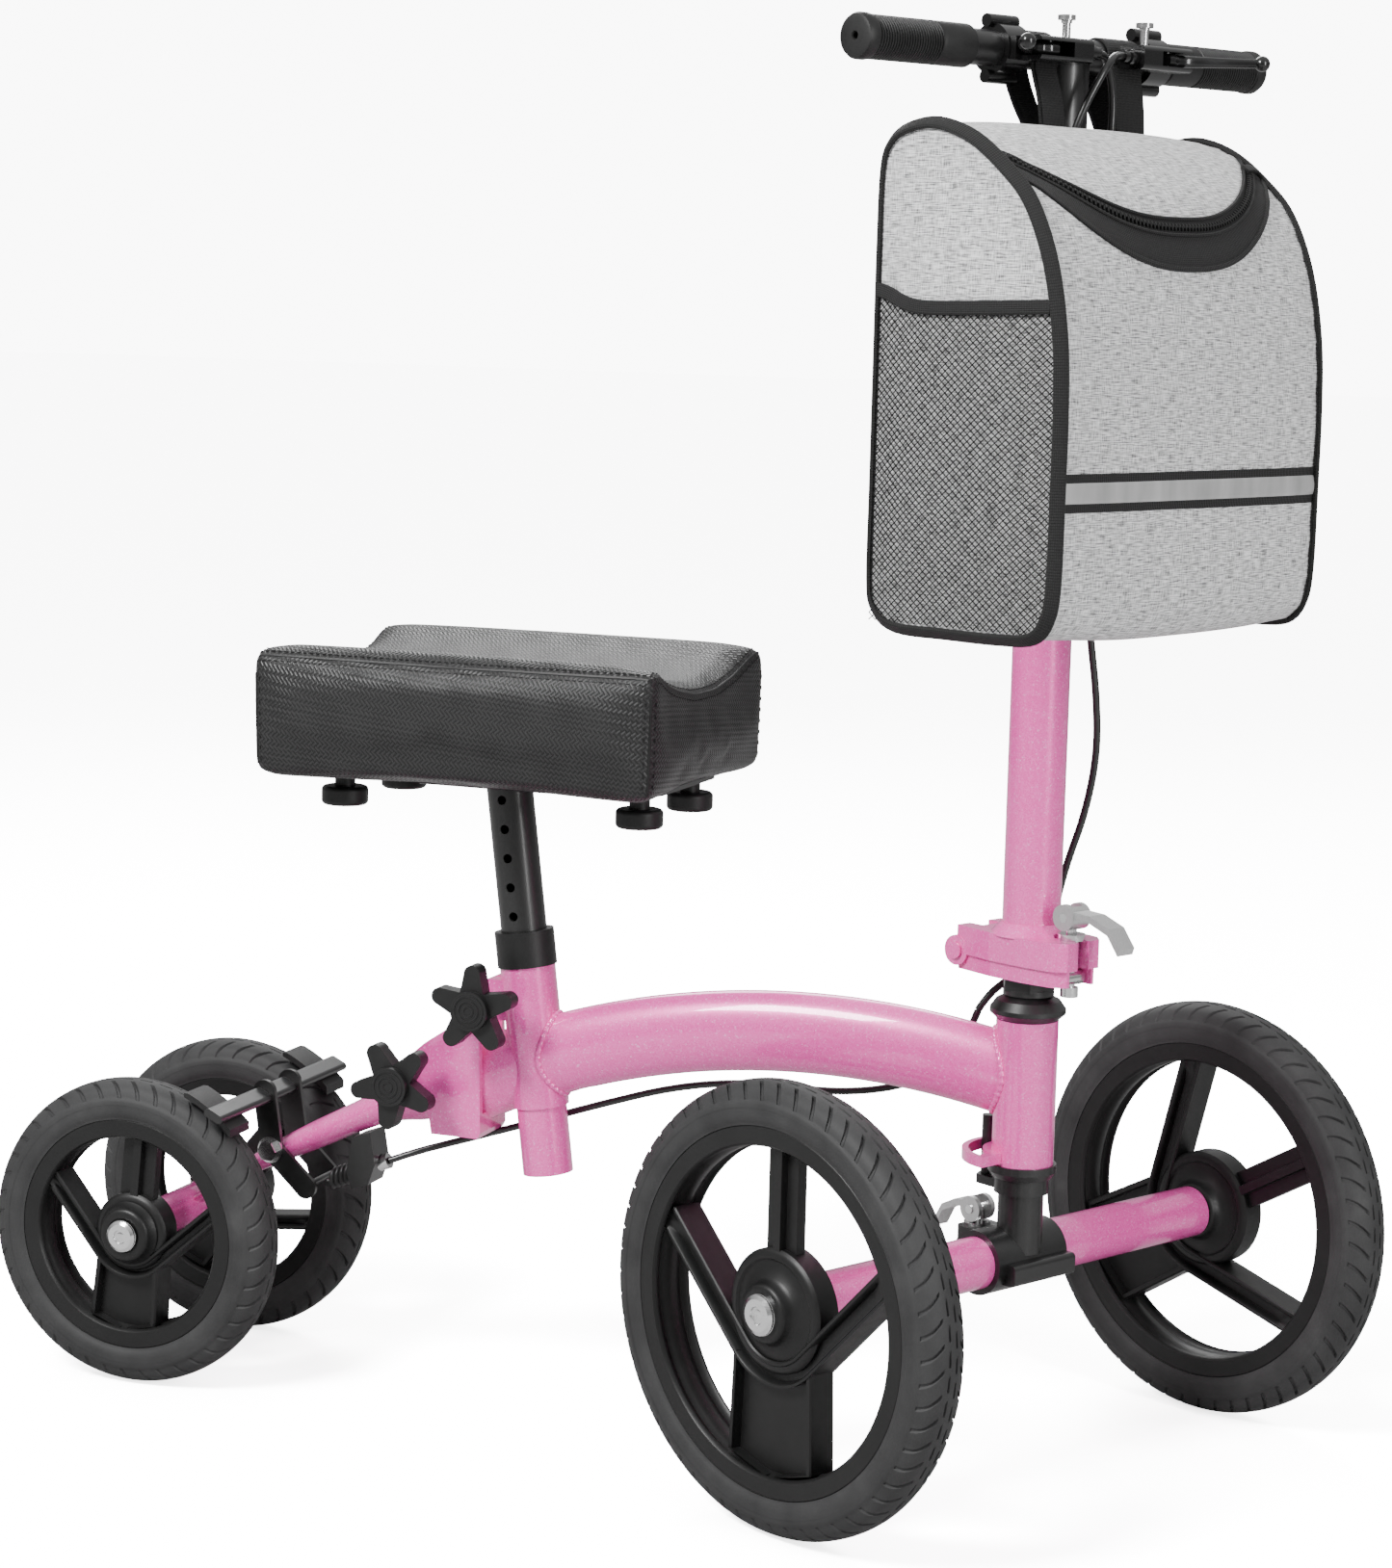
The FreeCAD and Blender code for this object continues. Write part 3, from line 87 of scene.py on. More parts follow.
# ---- camera ---------------------------------------------------------------------------------
def make_camera():
    """A long lens at chest height, from the rider's front right."""
    data = bpy.data.cameras.new("camera")
    data.sensor_width = 36.0
    data.lens = 81.1
    camera = new_object("camera", data)
    yaw, pitch, roll = (math.radians(a) for a in (110.56, -7.90, 1.43))
    flat = math.cos(pitch)
    ahead = Vector((math.cos(yaw) * flat, math.sin(yaw) * flat, math.sin(pitch)))
    level = Vector((math.sin(yaw), -math.cos(yaw), 0))
    above = level.cross(ahead)
    right = level * math.cos(roll) + above * math.sin(roll)
    top = above * math.cos(roll) - level * math.sin(roll)
    place = Matrix((right, top, -ahead)).transposed().to_4x4()
    place.translation = STEER_FOOT + Vector((0.5913, -2.2059, 0.7711))
    camera.matrix_world = place
    bpy.context.scene.camera = camera


def area_light(name, spot, aim, size, power):
    """A soft square light."""
    data = bpy.data.lights.new(name, "AREA")
    data.shape, data.size, data.size_y = "RECTANGLE", size[0], size[1]
    data.energy = power
    light = new_object(name, data)
    light.location = spot
    light.rotation_euler = (Vector(aim) - Vector(spot)).to_track_quat("-Z", "Y").to_euler()


def camera_switch(tree, others, camera):
    """A node that gives `camera` to the camera's own rays and `others` to all the rest."""
    path = tree.nodes.new("ShaderNodeLightPath")
    level = tree.nodes.new("ShaderNodeMapRange")
    level.inputs["To Min"].default_value = others
    level.inputs["To Max"].default_value = camera
    tree.links.new(path.outputs["Is Camera Ray"], level.inputs["Value"])
    return level


def make_studio():
    """A pale floor and surround, brighter to the camera than to the object, and three soft lights."""
    world = bpy.data.worlds.new("studio")
    bpy.context.scene.world = world
    world.use_nodes = True
    nodes = world.node_tree.nodes
    link = world.node_tree.links.new
    background = nodes["Background"]
    background.inputs["Color"].default_value = (1, 1, 1, 1)
    toward = nodes.new("ShaderNodeTexCoord")
    split = nodes.new("ShaderNodeSeparateXYZ")
    sky = nodes.new("ShaderNodeMapRange")
    for socket, value in (("From Min", -0.15), ("From Max", 0.85), ("To Min", 0.10), ("To Max", 0.95)):
        sky.inputs[socket].default_value = value
    level = camera_switch(world.node_tree, 0.0, 9.5)
    link(toward.outputs["Generated"], split.inputs["Vector"])
    link(split.outputs["Z"], sky.inputs["Value"])
    link(sky.outputs["Result"], level.inputs["To Min"])
    link(level.outputs["Result"], background.inputs["Strength"])
    area_light("key", (-0.9, -2.0, 2.3), (0, 0, 0.4), (0.8, 0.8), 124)
    area_light("side", (2.4, -1.2, 1.2), (0.2, 0, 0.5), (0.35, 1.8), 46)
    area_light("back", (-1.0, 2.2, 2.4), (0, 0, 0.4), (1.6, 1.0), 50)
    size = 30.0
    mesh = bpy.data.meshes.new("floor")
    corners = [(-size, -size, 0), (size, -size, 0), (size, size, 0), (-size, size, 0)]
    mesh.from_pydata(corners, [], [(0, 1, 2, 3)])
    floor = new_object("floor", mesh)
    floor.location.z = -0.0005
    mesh.materials.append(floor_paint())


def floor_paint():
    """Matt white floor that keeps the object's shadow but reads as bright as the surround."""
    paint = bpy.data.materials.new("floor_paint")
    paint.use_nodes = True
    tree = paint.node_tree
    diffuse = tree.nodes.new("ShaderNodeBsdfDiffuse")
    glow = tree.nodes.new("ShaderNodeEmission")
    both = tree.nodes.new("ShaderNodeAddShader")
    tree.links.new(camera_switch(tree, 0.0, 2.8).outputs["Result"], glow.inputs["Strength"])
    tree.links.new(camera_switch(tree, 0.45, 8.0).outputs["Result"], diffuse.inputs["Color"])
    tree.links.new(diffuse.outputs["BSDF"], both.inputs[0])
    tree.links.new(glow.outputs["Emission"], both.inputs[1])
    tree.links.new(both.outputs["Shader"], tree.nodes["Material Output"].inputs["Surface"])
    return paint


# ---- materials ------------------------------------------------------------------------------
class Paint:
    """A node material round one Principled shader, with short calls for the usual textures."""

    def __init__(self, name, color, rough, **sockets):
        self.done = bpy.data.materials.new(name)
        self.done.use_nodes = True
        self.tree = self.done.node_tree
        self.shader = self.tree.nodes["Principled BSDF"]
        self.shader.inputs["Base Color"].default_value = (*color, 1)
        self.shader.inputs["Roughness"].default_value = rough
        for socket, value in sockets.items():
            self.shader.inputs[socket.replace("_", " ")].default_value = value
        self.places = {}

    def add(self, kind, values=(), **settings):
        """A node with its socket values and its settings."""
        node = self.tree.nodes.new(kind)
        for key, value in settings.items():
            setattr(node, key, value)
        for socket, value in dict(values).items():
            node.inputs[socket].default_value = value
        return node

    def link(self, source, target):
        self.tree.links.new(source, target)

    def place(self, kind, scale=(1, 1, 1), turn=0.0):
        """Texture coordinates, stretched and turned."""
        key = (kind, tuple(scale), turn)
        if key not in self.places:
            source = self.add("ShaderNodeTexCoord")
            mapping = self.add("ShaderNodeMapping", {"Scale": scale, "Rotation": (0, 0, turn)})
            self.link(source.outputs[kind], mapping.inputs["Vector"])
            self.places[key] = mapping.outputs["Vector"]
        return self.places[key]

    def noise(self, scale, detail=3.0, kind="Object", stretch=(1, 1, 1), turn=0.0):
        node = self.add("ShaderNodeTexNoise", {"Scale": scale, "Detail": detail})
        self.link(self.place(kind, stretch, turn), node.inputs["Vector"])
        return node.outputs["Fac"]

    def wave(self, scale, kind="UV", turn=0.0, distortion=0.0, profile="SIN"):
        node = self.add("ShaderNodeTexWave", {"Scale": scale, "Distortion": distortion},
                        wave_type="BANDS", bands_direction="X", wave_profile=profile)
        self.link(self.place(kind, (1, 1, 1), turn), node.inputs["Vector"])
        return node.outputs["Fac"]

    def math(self, operation, a, b):
        node = self.add("ShaderNodeMath", operation=operation)
        for socket, value in zip(node.inputs, (a, b)):
            if isinstance(value, (int, float)):
                socket.default_value = value
            else:
                self.link(value, socket)
        return node.outputs[0]

    def ramp(self, source, stops):
        """Colours along a value; stops are (place, colour) pairs."""
        node = self.add("ShaderNodeValToRGB")
        bar = node.color_ramp
        while len(bar.elements) < len(stops):
            bar.elements.new(0.5)
        for element, (at, color) in zip(bar.elements, stops):
            element.position = at
            element.color = (*color, 1) if isinstance(color, tuple) else (color, color, color, 1)
        self.link(source, node.inputs["Fac"])
        return node.outputs["Color"]

    def mix(self, share, a, b, blend="MIX"):
        node = self.add("ShaderNodeMix", data_type="RGBA", blend_type=blend)
        sockets = (node.inputs[0], node.inputs[6], node.inputs[7])    # factor, colour A, colour B
        for socket, value in zip(sockets, (share, a, b)):
            if isinstance(value, (int, float)):
                socket.default_value = value
            elif isinstance(value, tuple):
                socket.default_value = (*value, 1)
            else:
                self.link(value, socket)
        return node.outputs[2]

    def color(self, source):
        self.link(source, self.shader.inputs["Base Color"])
        return self

    def roughness(self, source, low, high):
        """Roughness that follows a value between two limits."""
        node = self.add("ShaderNodeMapRange", {"To Min": low, "To Max": high})
        self.link(source, node.inputs["Value"])
        self.link(node.outputs["Result"], self.shader.inputs["Roughness"])
        return self

    def bump(self, source, height, strength=1.0):
        """Relief of `height` metres; several calls add up."""
        node = self.add("ShaderNodeBump", {"Strength": strength, "Distance": height})
        self.link(source, node.inputs["Height"])
        if self.shader.inputs["Normal"].is_linked:
            before = self.shader.inputs["Normal"].links[0].from_socket
            self.link(before, node.inputs["Normal"])
        self.link(node.outputs["Normal"], self.shader.inputs["Normal"])
        return self


def pink_paint():
    """Pink metallic enamel: fine flakes under a clear coat, with faint orange peel; the palest flakes carry
    painted glints.
    """
    paint = Paint("pink_enamel", (0.90, 0.09, 0.44), 0.30, Metallic=0.15, Coat_Weight=1.0,
                  Coat_Roughness=0.04)
    flakes = paint.add("ShaderNodeTexVoronoi", {"Scale": 1100.0})
    paint.link(paint.place("Object"), flakes.inputs["Vector"])
    # Each flake's own random tone, darker and lighter; the palest stops are painted glints on a few flakes.
    flake_tone_and_painted_glints = paint.ramp(flakes.outputs["Color"], [
        (0.0, (0.82, 0.065, 0.36)), (0.5, (0.90, 0.090, 0.44)), (0.82, (0.94, 0.15, 0.52)),
        (0.96, (1.0, 0.38, 0.72))])
    cloud = paint.noise(60, 2)
    paint.color(paint.mix(paint.math("MULTIPLY", cloud, 0.35), flake_tone_and_painted_glints, (0.90, 0.09, 0.44)))
    paint.roughness(flakes.outputs["Distance"], 0.24, 0.38)
    return paint.bump(paint.noise(220, 2), 0.00005).done


def black_enamel(name, tone, low, high, peel):
    """Black paint with a little orange peel and handling haze."""
    paint = Paint(name, (tone, tone, tone * 1.04), (low + high) / 2, Coat_Weight=0.25, Coat_Roughness=0.2)
    haze = paint.noise(45, 4)
    paint.color(paint.ramp(haze, [(0.3, tone * 0.8), (0.75, tone * 1.5)]))
    paint.roughness(haze, low, high)
    return paint.bump(paint.noise(900, 2), peel).done


def moulded_plastic(name, tone, grain):
    """Black moulded plastic with a fine spark-eroded grain."""
    paint = Paint(name, (tone, tone, tone), 0.42, Specular_IOR_Level=0.35)
    paint.color(paint.ramp(paint.noise(30, 5), [(0.3, tone * 0.85), (0.7, tone * 1.25)]))
    paint.roughness(paint.noise(120, 3), 0.34, 0.5)
    return paint.bump(paint.noise(2600, 2), grain).done


def tyre_rubber():
    """Dark grey rubber, a little dusty, with a faint mottle."""
    paint = Paint("tyre_rubber", (0.03, 0.03, 0.03), 0.66, Specular_IOR_Level=0.32)
    mottle = paint.noise(38, 6)
    paint.color(paint.ramp(mottle, [(0.25, (0.022, 0.022, 0.0225)), (0.6, (0.034, 0.034, 0.0345)),
                                    (0.85, (0.050, 0.050, 0.050))]))
    paint.roughness(mottle, 0.52, 0.75)
    return paint.bump(paint.noise(1500, 3), 0.00012).done


def soft_rubber():
    """Black rubber of the grips, shoes and boot."""
    paint = Paint("soft_rubber", (0.01, 0.01, 0.01), 0.5, Specular_IOR_Level=0.35)
    paint.color(paint.ramp(paint.noise(70, 4), [(0.3, 0.007), (0.75, 0.013)]))
    return paint.bump(paint.noise(1800, 2), 0.00008).done


def bright_metal(name, tone, low, high, brush):
    """Plated or polished metal with fine turning marks."""
    paint = Paint(name, (tone, tone, tone * 1.02), low, Metallic=1.0)
    marks = paint.noise(300, 4, stretch=brush)
    paint.color(paint.ramp(marks, [(0.3, tone * 0.86), (0.7, tone)]))
    paint.roughness(marks, low, high)
    return paint.bump(marks, 0.00002).done


def pad_leather():
    """Black faux leather, embossed all over like a woven carbon sheet."""
    paint = Paint("pad_leather", (0.02, 0.02, 0.02), 0.45, Specular_IOR_Level=0.4)
    step = 0.0024
    checks = paint.add("ShaderNodeTexChecker", {"Scale": 1 / step})
    paint.link(paint.place("UV", (1, 0.5, 1), math.radians(50)), checks.inputs["Vector"])
    across = paint.wave(130, turn=math.radians(50))
    along = paint.wave(130, turn=math.radians(-40))
    weave = paint.mix(checks.outputs["Fac"], across, along)
    paint.color(paint.ramp(weave, [(0.15, 0.004), (0.85, 0.022)]))
    paint.roughness(weave, 0.50, 0.34)
    paint.bump(checks.outputs["Fac"], 0.00010)
    return paint.bump(weave, 0.00030).done


def bag_cloth():
    """Heathered light grey cloth: short light and dark threads both ways."""
    paint = Paint("bag_cloth", (0.45, 0.45, 0.46), 0.85, Sheen_Weight=0.25, Sheen_Roughness=0.5)
    weft = paint.noise(1, 3, "UV", (110, 1500, 1))
    warp = paint.noise(1, 3, "UV", (1700, 150, 1))
    threads = paint.math("ADD", paint.math("MULTIPLY", weft, 0.62),
                         paint.math("MULTIPLY", warp, 0.38))
    shade = paint.ramp(threads, [(0.38, (0.07, 0.07, 0.072)), (0.455, (0.34, 0.34, 0.342)),
                                 (0.52, (0.66, 0.66, 0.663)), (0.61, (0.95, 0.95, 0.955))])
    patch = paint.noise(14, 3, "UV")
    paint.color(paint.mix(paint.math("MULTIPLY", patch, 0.2), shade, (0.38, 0.38, 0.382)))
    weave_a = paint.wave(420, turn=0)
    weave_b = paint.wave(420, turn=math.radians(90))
    paint.bump(paint.mix(0.5, weave_a, weave_b, "ADD"), 0.00015)
    return paint.bump(threads, 0.00025).done


def webbing(name, tone):
    """Woven black tape: cross ribs and a fine weave, in UV metres along the tape."""
    paint = Paint(name, (tone, tone, tone), 0.7, Specular_IOR_Level=0.3, Sheen_Weight=0.05)
    ribs = paint.wave(190, turn=0)
    rows = paint.wave(260, turn=math.radians(90))
    pattern = paint.mix(0.5, ribs, rows)
    paint.color(paint.ramp(pattern, [(0.2, tone * 0.45), (0.8, tone * 1.5)]))
    return paint.bump(pattern, 0.0004).done


def silver_strip():
    """Grey retro-reflective tape with faint wrinkles."""
    paint = Paint("reflective_tape", (0.42, 0.42, 0.43), 0.35, Metallic=0.35)
    sheen = paint.noise(1, 4, "UV", (60, 14, 1))
    paint.color(paint.ramp(sheen, [(0.3, 0.33), (0.7, 0.52)]))
    paint.roughness(sheen, 0.28, 0.45)
    return paint.bump(paint.noise(900, 2, "UV"), 0.00006).done


MATERIALS = {
    "pink_paint": pink_paint(),
    "black_steel": black_enamel("black_steel", 0.006, 0.30, 0.46, 0.00003),
    "black_alloy": black_enamel("black_alloy", 0.004, 0.13, 0.24, 0.00001),
    "chrome": bright_metal("chrome", 0.78, 0.12, 0.26, (1, 1, 6)),
    "lever_alloy": bright_metal("lever_alloy", 0.72, 0.26, 0.42, (8, 1, 1)),
    "tyre": tyre_rubber(),
    "rim_plastic": moulded_plastic("rim_plastic", 0.0065, 0.00004),
    "knob_plastic": moulded_plastic("knob_plastic", 0.009, 0.00007),
    "grip_rubber": soft_rubber(),
    "cable_jacket": black_enamel("cable_jacket", 0.008, 0.25, 0.36, 0.00001),
    "pad_cover": pad_leather(),
    "bag_cloth": bag_cloth(),
    "webbing": webbing("webbing", 0.007),
}


# ---- mesh building --------------------------------------------------------------------------
class Shells:
    """Closed shells gathered into one mesh, with UVs in metres where they are given."""

    def __init__(self):
        self.points, self.faces, self.uvs = [], [], {}

    def skin(self, rows, closed=True, ring=False, caps=True, uvs=None):
        """Skins equal rows of points. `closed` joins each row's ends, `ring` the last row to the first."""
        base, width = len(self.points), len(rows[0])
        for row in rows:
            self.points.extend(Vector(p) for p in row)
        steps = len(rows) if ring else len(rows) - 1
        across = width if closed else width - 1
        for i in range(steps):
            for j in range(across):
                ahead = (i + 1) % len(rows)
                beside = (j + 1) % width
                corners = [(i, j), (i, beside), (ahead, beside), (ahead, j)]
                if uvs:
                    turned = [(i, j), (i, j + 1), (i + 1, j + 1), (i + 1, j)]
                    self.uvs[len(self.faces)] = [uvs(*c) for c in turned]
                self.faces.append([base + a * width + b for a, b in corners])
        if caps and closed and not ring:
            self.faces.append([base + j for j in reversed(range(width))])
            self.faces.append([base + (len(rows) - 1) * width + j for j in range(width)])
        return self

    def turned(self, profile, centre=(0, 0, 0), segments=96):
        """A closed (y, radius) profile turned about the Y axis."""
        rows = []
        for k in range(segments):
            a = math.tau * k / segments
            rows.append([Vector(centre) + Vector((r * math.cos(a), y, r * math.sin(a)))
                         for y, r in profile])
        return self.skin(rows, ring=True)

    def swept(self, path, sections, side=None, closed=False, uv=False):
        """A section carried along a path. Sections are (across, over) pairs; `side` is the over axis."""
        count = len(path)
        rows, lengths, run = [], [], 0.0
        for i, point in enumerate(path):
            before = path[i - 1] if closed or i else path[0]
            after = path[(i + 1) % count] if closed or i < count - 1 else path[-1]
            ahead = (Vector(after) - Vector(before)).normalized()
            over = Vector(side(i) if callable(side) else side)
            over = (over - ahead * over.dot(ahead)).normalized()
            across = ahead.cross(over)
            section = sections(i) if callable(sections) else sections
            rows.append([Vector(point) + across * a + over * b for a, b in section])
            if i:
                run += (Vector(point) - Vector(path[i - 1])).length
            lengths.append(run)
        lengths.append(run + (Vector(path[0]) - Vector(path[-1])).length)
        first = sections(0) if callable(sections) else sections
        around = [0.0]
        for a, b in zip(first, first[1:] + first[:1]):
            around.append(around[-1] + math.dist(a, b))
        uvs = (lambda i, j: (lengths[i], around[j])) if uv else None
        return self.skin(rows, ring=closed, uvs=uvs)


def add_piece(name, shells, body, slot, place=None, material=None, stands_for=(), crease=38):
    """Makes the mesh object, shades it, and rides it on its body."""
    mesh = bpy.data.meshes.new(name)
    mesh.from_pydata([tuple(p) for p in shells.points], [], shells.faces)
    if shells.uvs:
        layer = mesh.uv_layers.new(name="UVMap")
        for polygon in mesh.polygons:
            for loop, uv in zip(polygon.loop_indices, shells.uvs.get(polygon.index, ())):
                layer.data[loop].uv = uv
    if place is not None:
        mesh.transform(place)
    bm = bmesh.new()
    bm.from_mesh(mesh)
    bmesh.ops.recalc_face_normals(bm, faces=bm.faces)
    bm.to_mesh(mesh)
    bm.free()
    mesh.shade_smooth()
    mesh.set_sharp_from_angle(angle=math.radians(crease))
    mesh.materials.append(material or MATERIALS[slot])
    piece = new_object(name, mesh)
    if body:
        settle(piece, body, stands_for)
    return piece


def settle(piece, body, stands_for=()):
    """Rides a finished piece and hides what it stands for."""
    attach(piece, body)
    if stands_for:
        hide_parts(*stands_for)


def circle(radius, count, turn=0.0):
    """A round section."""
    return [(radius * math.cos(math.tau * k / count + turn), radius * math.sin(math.tau * k / count + turn))
            for k in range(count)]


def round_box(half_a, half_b, radius, steps=4):
    """A rectangular section with rounded corners."""
    points = []
    for k, (sa, sb) in enumerate(((1, 1), (-1, 1), (-1, -1), (1, -1))):
        for i in range(steps + 1):
            a = math.pi / 2 * (k + i / steps)
            points.append((sa * (half_a - radius) + radius * math.cos(a),
                           sb * (half_b - radius) + radius * math.sin(a)))
    return points


def between(a, b, c, d, t):
    """The Catmull-Rom point a share `t` of the way from b to c."""
    return 0.5 * (2 * b + (c - a) * t + (2 * a - 5 * b + 4 * c - d) * t * t
                  + (3 * b - 3 * c + d - a) * t ** 3)


def smooth_path(points, per_run=8):
    """A Catmull-Rom curve through points."""
    pts = [Vector(p) for p in points]
    pts = [pts[0] * 2 - pts[1]] + pts + [pts[-1] * 2 - pts[-2]]
    out = []
    for a, b, c, d in zip(pts, pts[1:], pts[2:], pts[3:]):
        out.extend(between(a, b, c, d, k / per_run) for k in range(per_run))
    out.append(pts[-2])
    return out


# ---- wheels ---------------------------------------------------------------------------------
TREAD_PITCH = 0.0157          # from one side groove to the next, along the tread
GROOVE_DEPTH = 0.0021


def tyre_rows(outer, seat, half_w):
    """Half of a tyre's section from the crown to the seat: (y, radius, what the row carries)."""
    return [
        (0.0000, outer, "plain"), (0.0016, outer - 0.00002, "plain"),
        (0.0020, outer - 0.00005, "dash_edge"), (0.0024, outer - 0.00007, "dash"),
        (0.0033, outer - 0.00015, "dash"), (0.0037, outer - 0.0002, "dash_edge"),
        (0.0052, outer - 0.0004, "plain"), (0.0066, outer - 0.0008, "groove_tip"),
        (0.0072, outer - 0.0010, "groove"), (0.0095, outer - 0.0019, "groove"),
        (0.0120, outer - 0.0032, "groove"), (0.0140, outer - 0.0050, "groove"),
        (0.0155, outer - 0.0074, "groove"), (0.0164, outer - 0.0098, "groove"),
        (0.0169, outer - 0.0112, "groove_tip"), (0.0178, outer - 0.0122, "plain"),
        (0.0183, outer - 0.0138, "plain"), (half_w, outer - 0.0160, "plain"),
        (half_w - 0.0002, (outer + seat) / 2 - 0.002, "plain"),
        (half_w, seat + 0.0070, "plain"), (half_w - 0.0004, seat + 0.0042, "plain"),
        (half_w - 0.0014, seat + 0.0022, "plain"), (half_w - 0.0021, seat + 0.0010, "plain"),
        (half_w - 0.0023, seat, "plain"),
    ]


def tyre(name, joint, lead):
    """A solid tyre with slanted side grooves and two rows of dashes; `lead` points the chevrons."""
    node, rim_node = "tyre_" + name, "rim_" + name
    outer = (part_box(node)[1].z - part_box(node)[0].z) / 2
    seat = (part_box(rim_node)[1].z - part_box(rim_node)[0].z) / 2
    half = tyre_rows(outer, seat, 0.0185)
    section = [(-y, r, kind) for y, r, kind in reversed(half[1:])] + half
    count = round(math.tau * outer / TREAD_PITCH)
    marks = [(0.0, 0), (0.10, 0), (0.135, 1), (0.285, 1), (0.32, 0), (0.40, 0), (0.55, 0), (0.80, 0)]
    dash_marks = {0: 0, 1: 0, 2: 1, 3: 1, 4: 1, 5: 1, 6: 1, 7: 0}
    rows = []
    for k in range(count):
        for m, (share, deep) in enumerate(marks):
            row = []
            for y, r, kind in section:
                slant = lead * 1.15 * min(abs(y) / 0.0168, 1.0)
                offset = 0.0
                if kind == "groove":
                    offset = GROOVE_DEPTH * deep
                elif kind == "dash":
                    offset = 0.0016 * dash_marks[m]
                if abs(y) < 0.0050:
                    slant = lead * 0.24 + (0.30 if y > 0 else 0.0)
                turn = math.tau * (k + share - slant) / count
                r -= offset
                row.append((r * math.cos(turn), y, r * math.sin(turn)))
            rows.append(row)
    shells = Shells().skin(rows, ring=True)
    place = axis_place(JOINTS[joint]["pos_m"], JOINTS[joint]["axis"])
    body = "wheel_" + name
    add_piece("tread_" + name, shells, body, "tyre", place, stands_for=[node], crease=28)


def leg_path(disc_r, reach, half_angle):
    """The V's centre line: in from the barrel, round under the hub and out again."""
    lean = math.asin(disc_r / reach)
    far = math.radians(90 + half_angle)
    touch = far + math.pi / 2 - lean
    start = Vector((reach * math.cos(far), 0, reach * math.sin(far)))
    meet = Vector((disc_r * math.cos(touch), 0, disc_r * math.sin(touch)))
    left = [start.lerp(meet, k / 14) for k in range(14)]
    sweep = 2 * (math.radians(270) - touch)
    arc = [Vector((disc_r * math.cos(touch + sweep * k / 16), 0, disc_r * math.sin(touch + sweep * k / 16)))
           for k in range(17)]
    right = [Vector((-p.x, 0, p.z)) for p in reversed(left)]
    return left + arc + right


def channel(half_w, half_t, lip, floor):
    """An H section: raised lips on both faces with a sunk floor between."""
    e = 0.0009
    face = [(half_w - e, half_t), (half_w - lip + e, half_t), (half_w - lip, half_t - e),
            (half_w - lip - 0.0012, floor), (-half_w + lip + 0.0012, floor),
            (-half_w + lip, half_t - e), (-half_w + lip - e, half_t), (-half_w + e, half_t),
            (-half_w, half_t - e)]
    under = [(-a, -b) for a, b in face]
    return face + under


def rim(name, joint, turn):
    """A moulded rim: stepped barrel, dished hub, flat spoke, V of channel legs and ribbed panel."""
    node = "rim_" + name
    seat = (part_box(node)[1].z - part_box(node)[0].z) / 2 - 0.0001
    half_w, inner, disc_r = 0.0162, seat - 0.0125, 0.34 * seat
    shells = Shells()
    half = [(half_w - 0.0006, seat), (half_w, seat - 0.0006), (half_w, inner + 0.0012),
            (half_w - 0.0012, inner), (half_w - 0.0030, inner - 0.0006),
            (half_w - 0.0042, inner + 0.0010), (half_w - 0.0075, inner + 0.0022),
            (half_w - 0.0105, inner + 0.0010), (0.0030, inner - 0.0008)]
    shells.turned(half + [(-y, r) for y, r in reversed(half)], segments=160)
    boss, deep = 0.0185, 0.0200
    hub = [(0.0090, disc_r - 0.0012), (0.0102, disc_r - 0.0030), (0.0104, disc_r - 0.0062),
           (0.0090, disc_r - 0.0078), (0.0096, disc_r - 0.0100), (0.0118, boss + 0.0040),
           (0.0145, boss + 0.0016), (0.0175, boss + 0.0006), (deep - 0.0014, boss),
           (deep - 0.0003, boss - 0.0012), (deep, boss - 0.0030), (deep, 0.0125),
           (deep - 0.0012, 0.0120), (deep - 0.0012, 0.0060)]
    outline = [(-y, r) for y, r in reversed(hub)] + [(-0.0078, disc_r), (0.0078, disc_r)] + hub
    shells.turned(outline, segments=96)
    path = leg_path(disc_r, inner + 0.002, 67)
    last = len(path) - 1
    leg_w = 0.074 * seat

    def leg_section(i):
        """The channel's floor rises to the lips near the barrel."""
        near_end = min(i, last - i)
        rise = max(0.0, 1 - near_end / 3.0)
        return channel(leg_w, 0.0112, 0.0034, 0.0050 + 0.0055 * rise)
    shells.swept(path, leg_section, side=(0, 1, 0))
    flat = [Vector((0, 0, disc_r * 0.9 + (inner + 0.002 - disc_r * 0.9) * k / 6)) for k in range(7)]
    spoke = [(0.0130, 0.0034), (0.0122, 0.0042), (-0.0122, 0.0042), (-0.0130, 0.0034),
             (-0.0130, -0.0042), (-0.0038, -0.0042), (-0.0030, -0.0090), (0.0030, -0.0090),
             (0.0038, -0.0042), (0.0130, -0.0042)]
    shells.swept(flat, spoke, side=(0, 1, 0))
    wide, low = 0.31 * seat, inner + 0.001
    drop = [Vector((0, 0, -disc_r * 0.8 - (low - disc_r * 0.8) * k / 8)) for k in range(9)]

    def panel_section(i):
        """The panel spreads a little towards the barrel, with a rib along each side."""
        w = wide * (0.96 + 0.08 * i / 8)
        w = min(w, math.sqrt(max(low ** 2 - drop[i].z ** 2, 0.0)) + 0.0065)
        rib, top, floor = 0.0036, 0.0105, 0.0036
        face = [(w, top - 0.001), (w - 0.001, top), (w - rib, top), (w - rib - 0.0010, floor),
                (-w + rib + 0.0010, floor), (-w + rib, top), (-w + 0.001, top), (-w, top - 0.001)]
        return face + [(-a, -b) for a, b in face]
    shells.swept(drop, panel_section, side=(0, 1, 0))
    spin = Matrix.Rotation(math.radians(turn), 4, "Y")
    place = axis_place(JOINTS[joint]["pos_m"], JOINTS[joint]["axis"]) @ spin
    add_piece("wheel_disc_" + name, shells, "wheel_" + name, "rim_plastic", place, stands_for=[node])


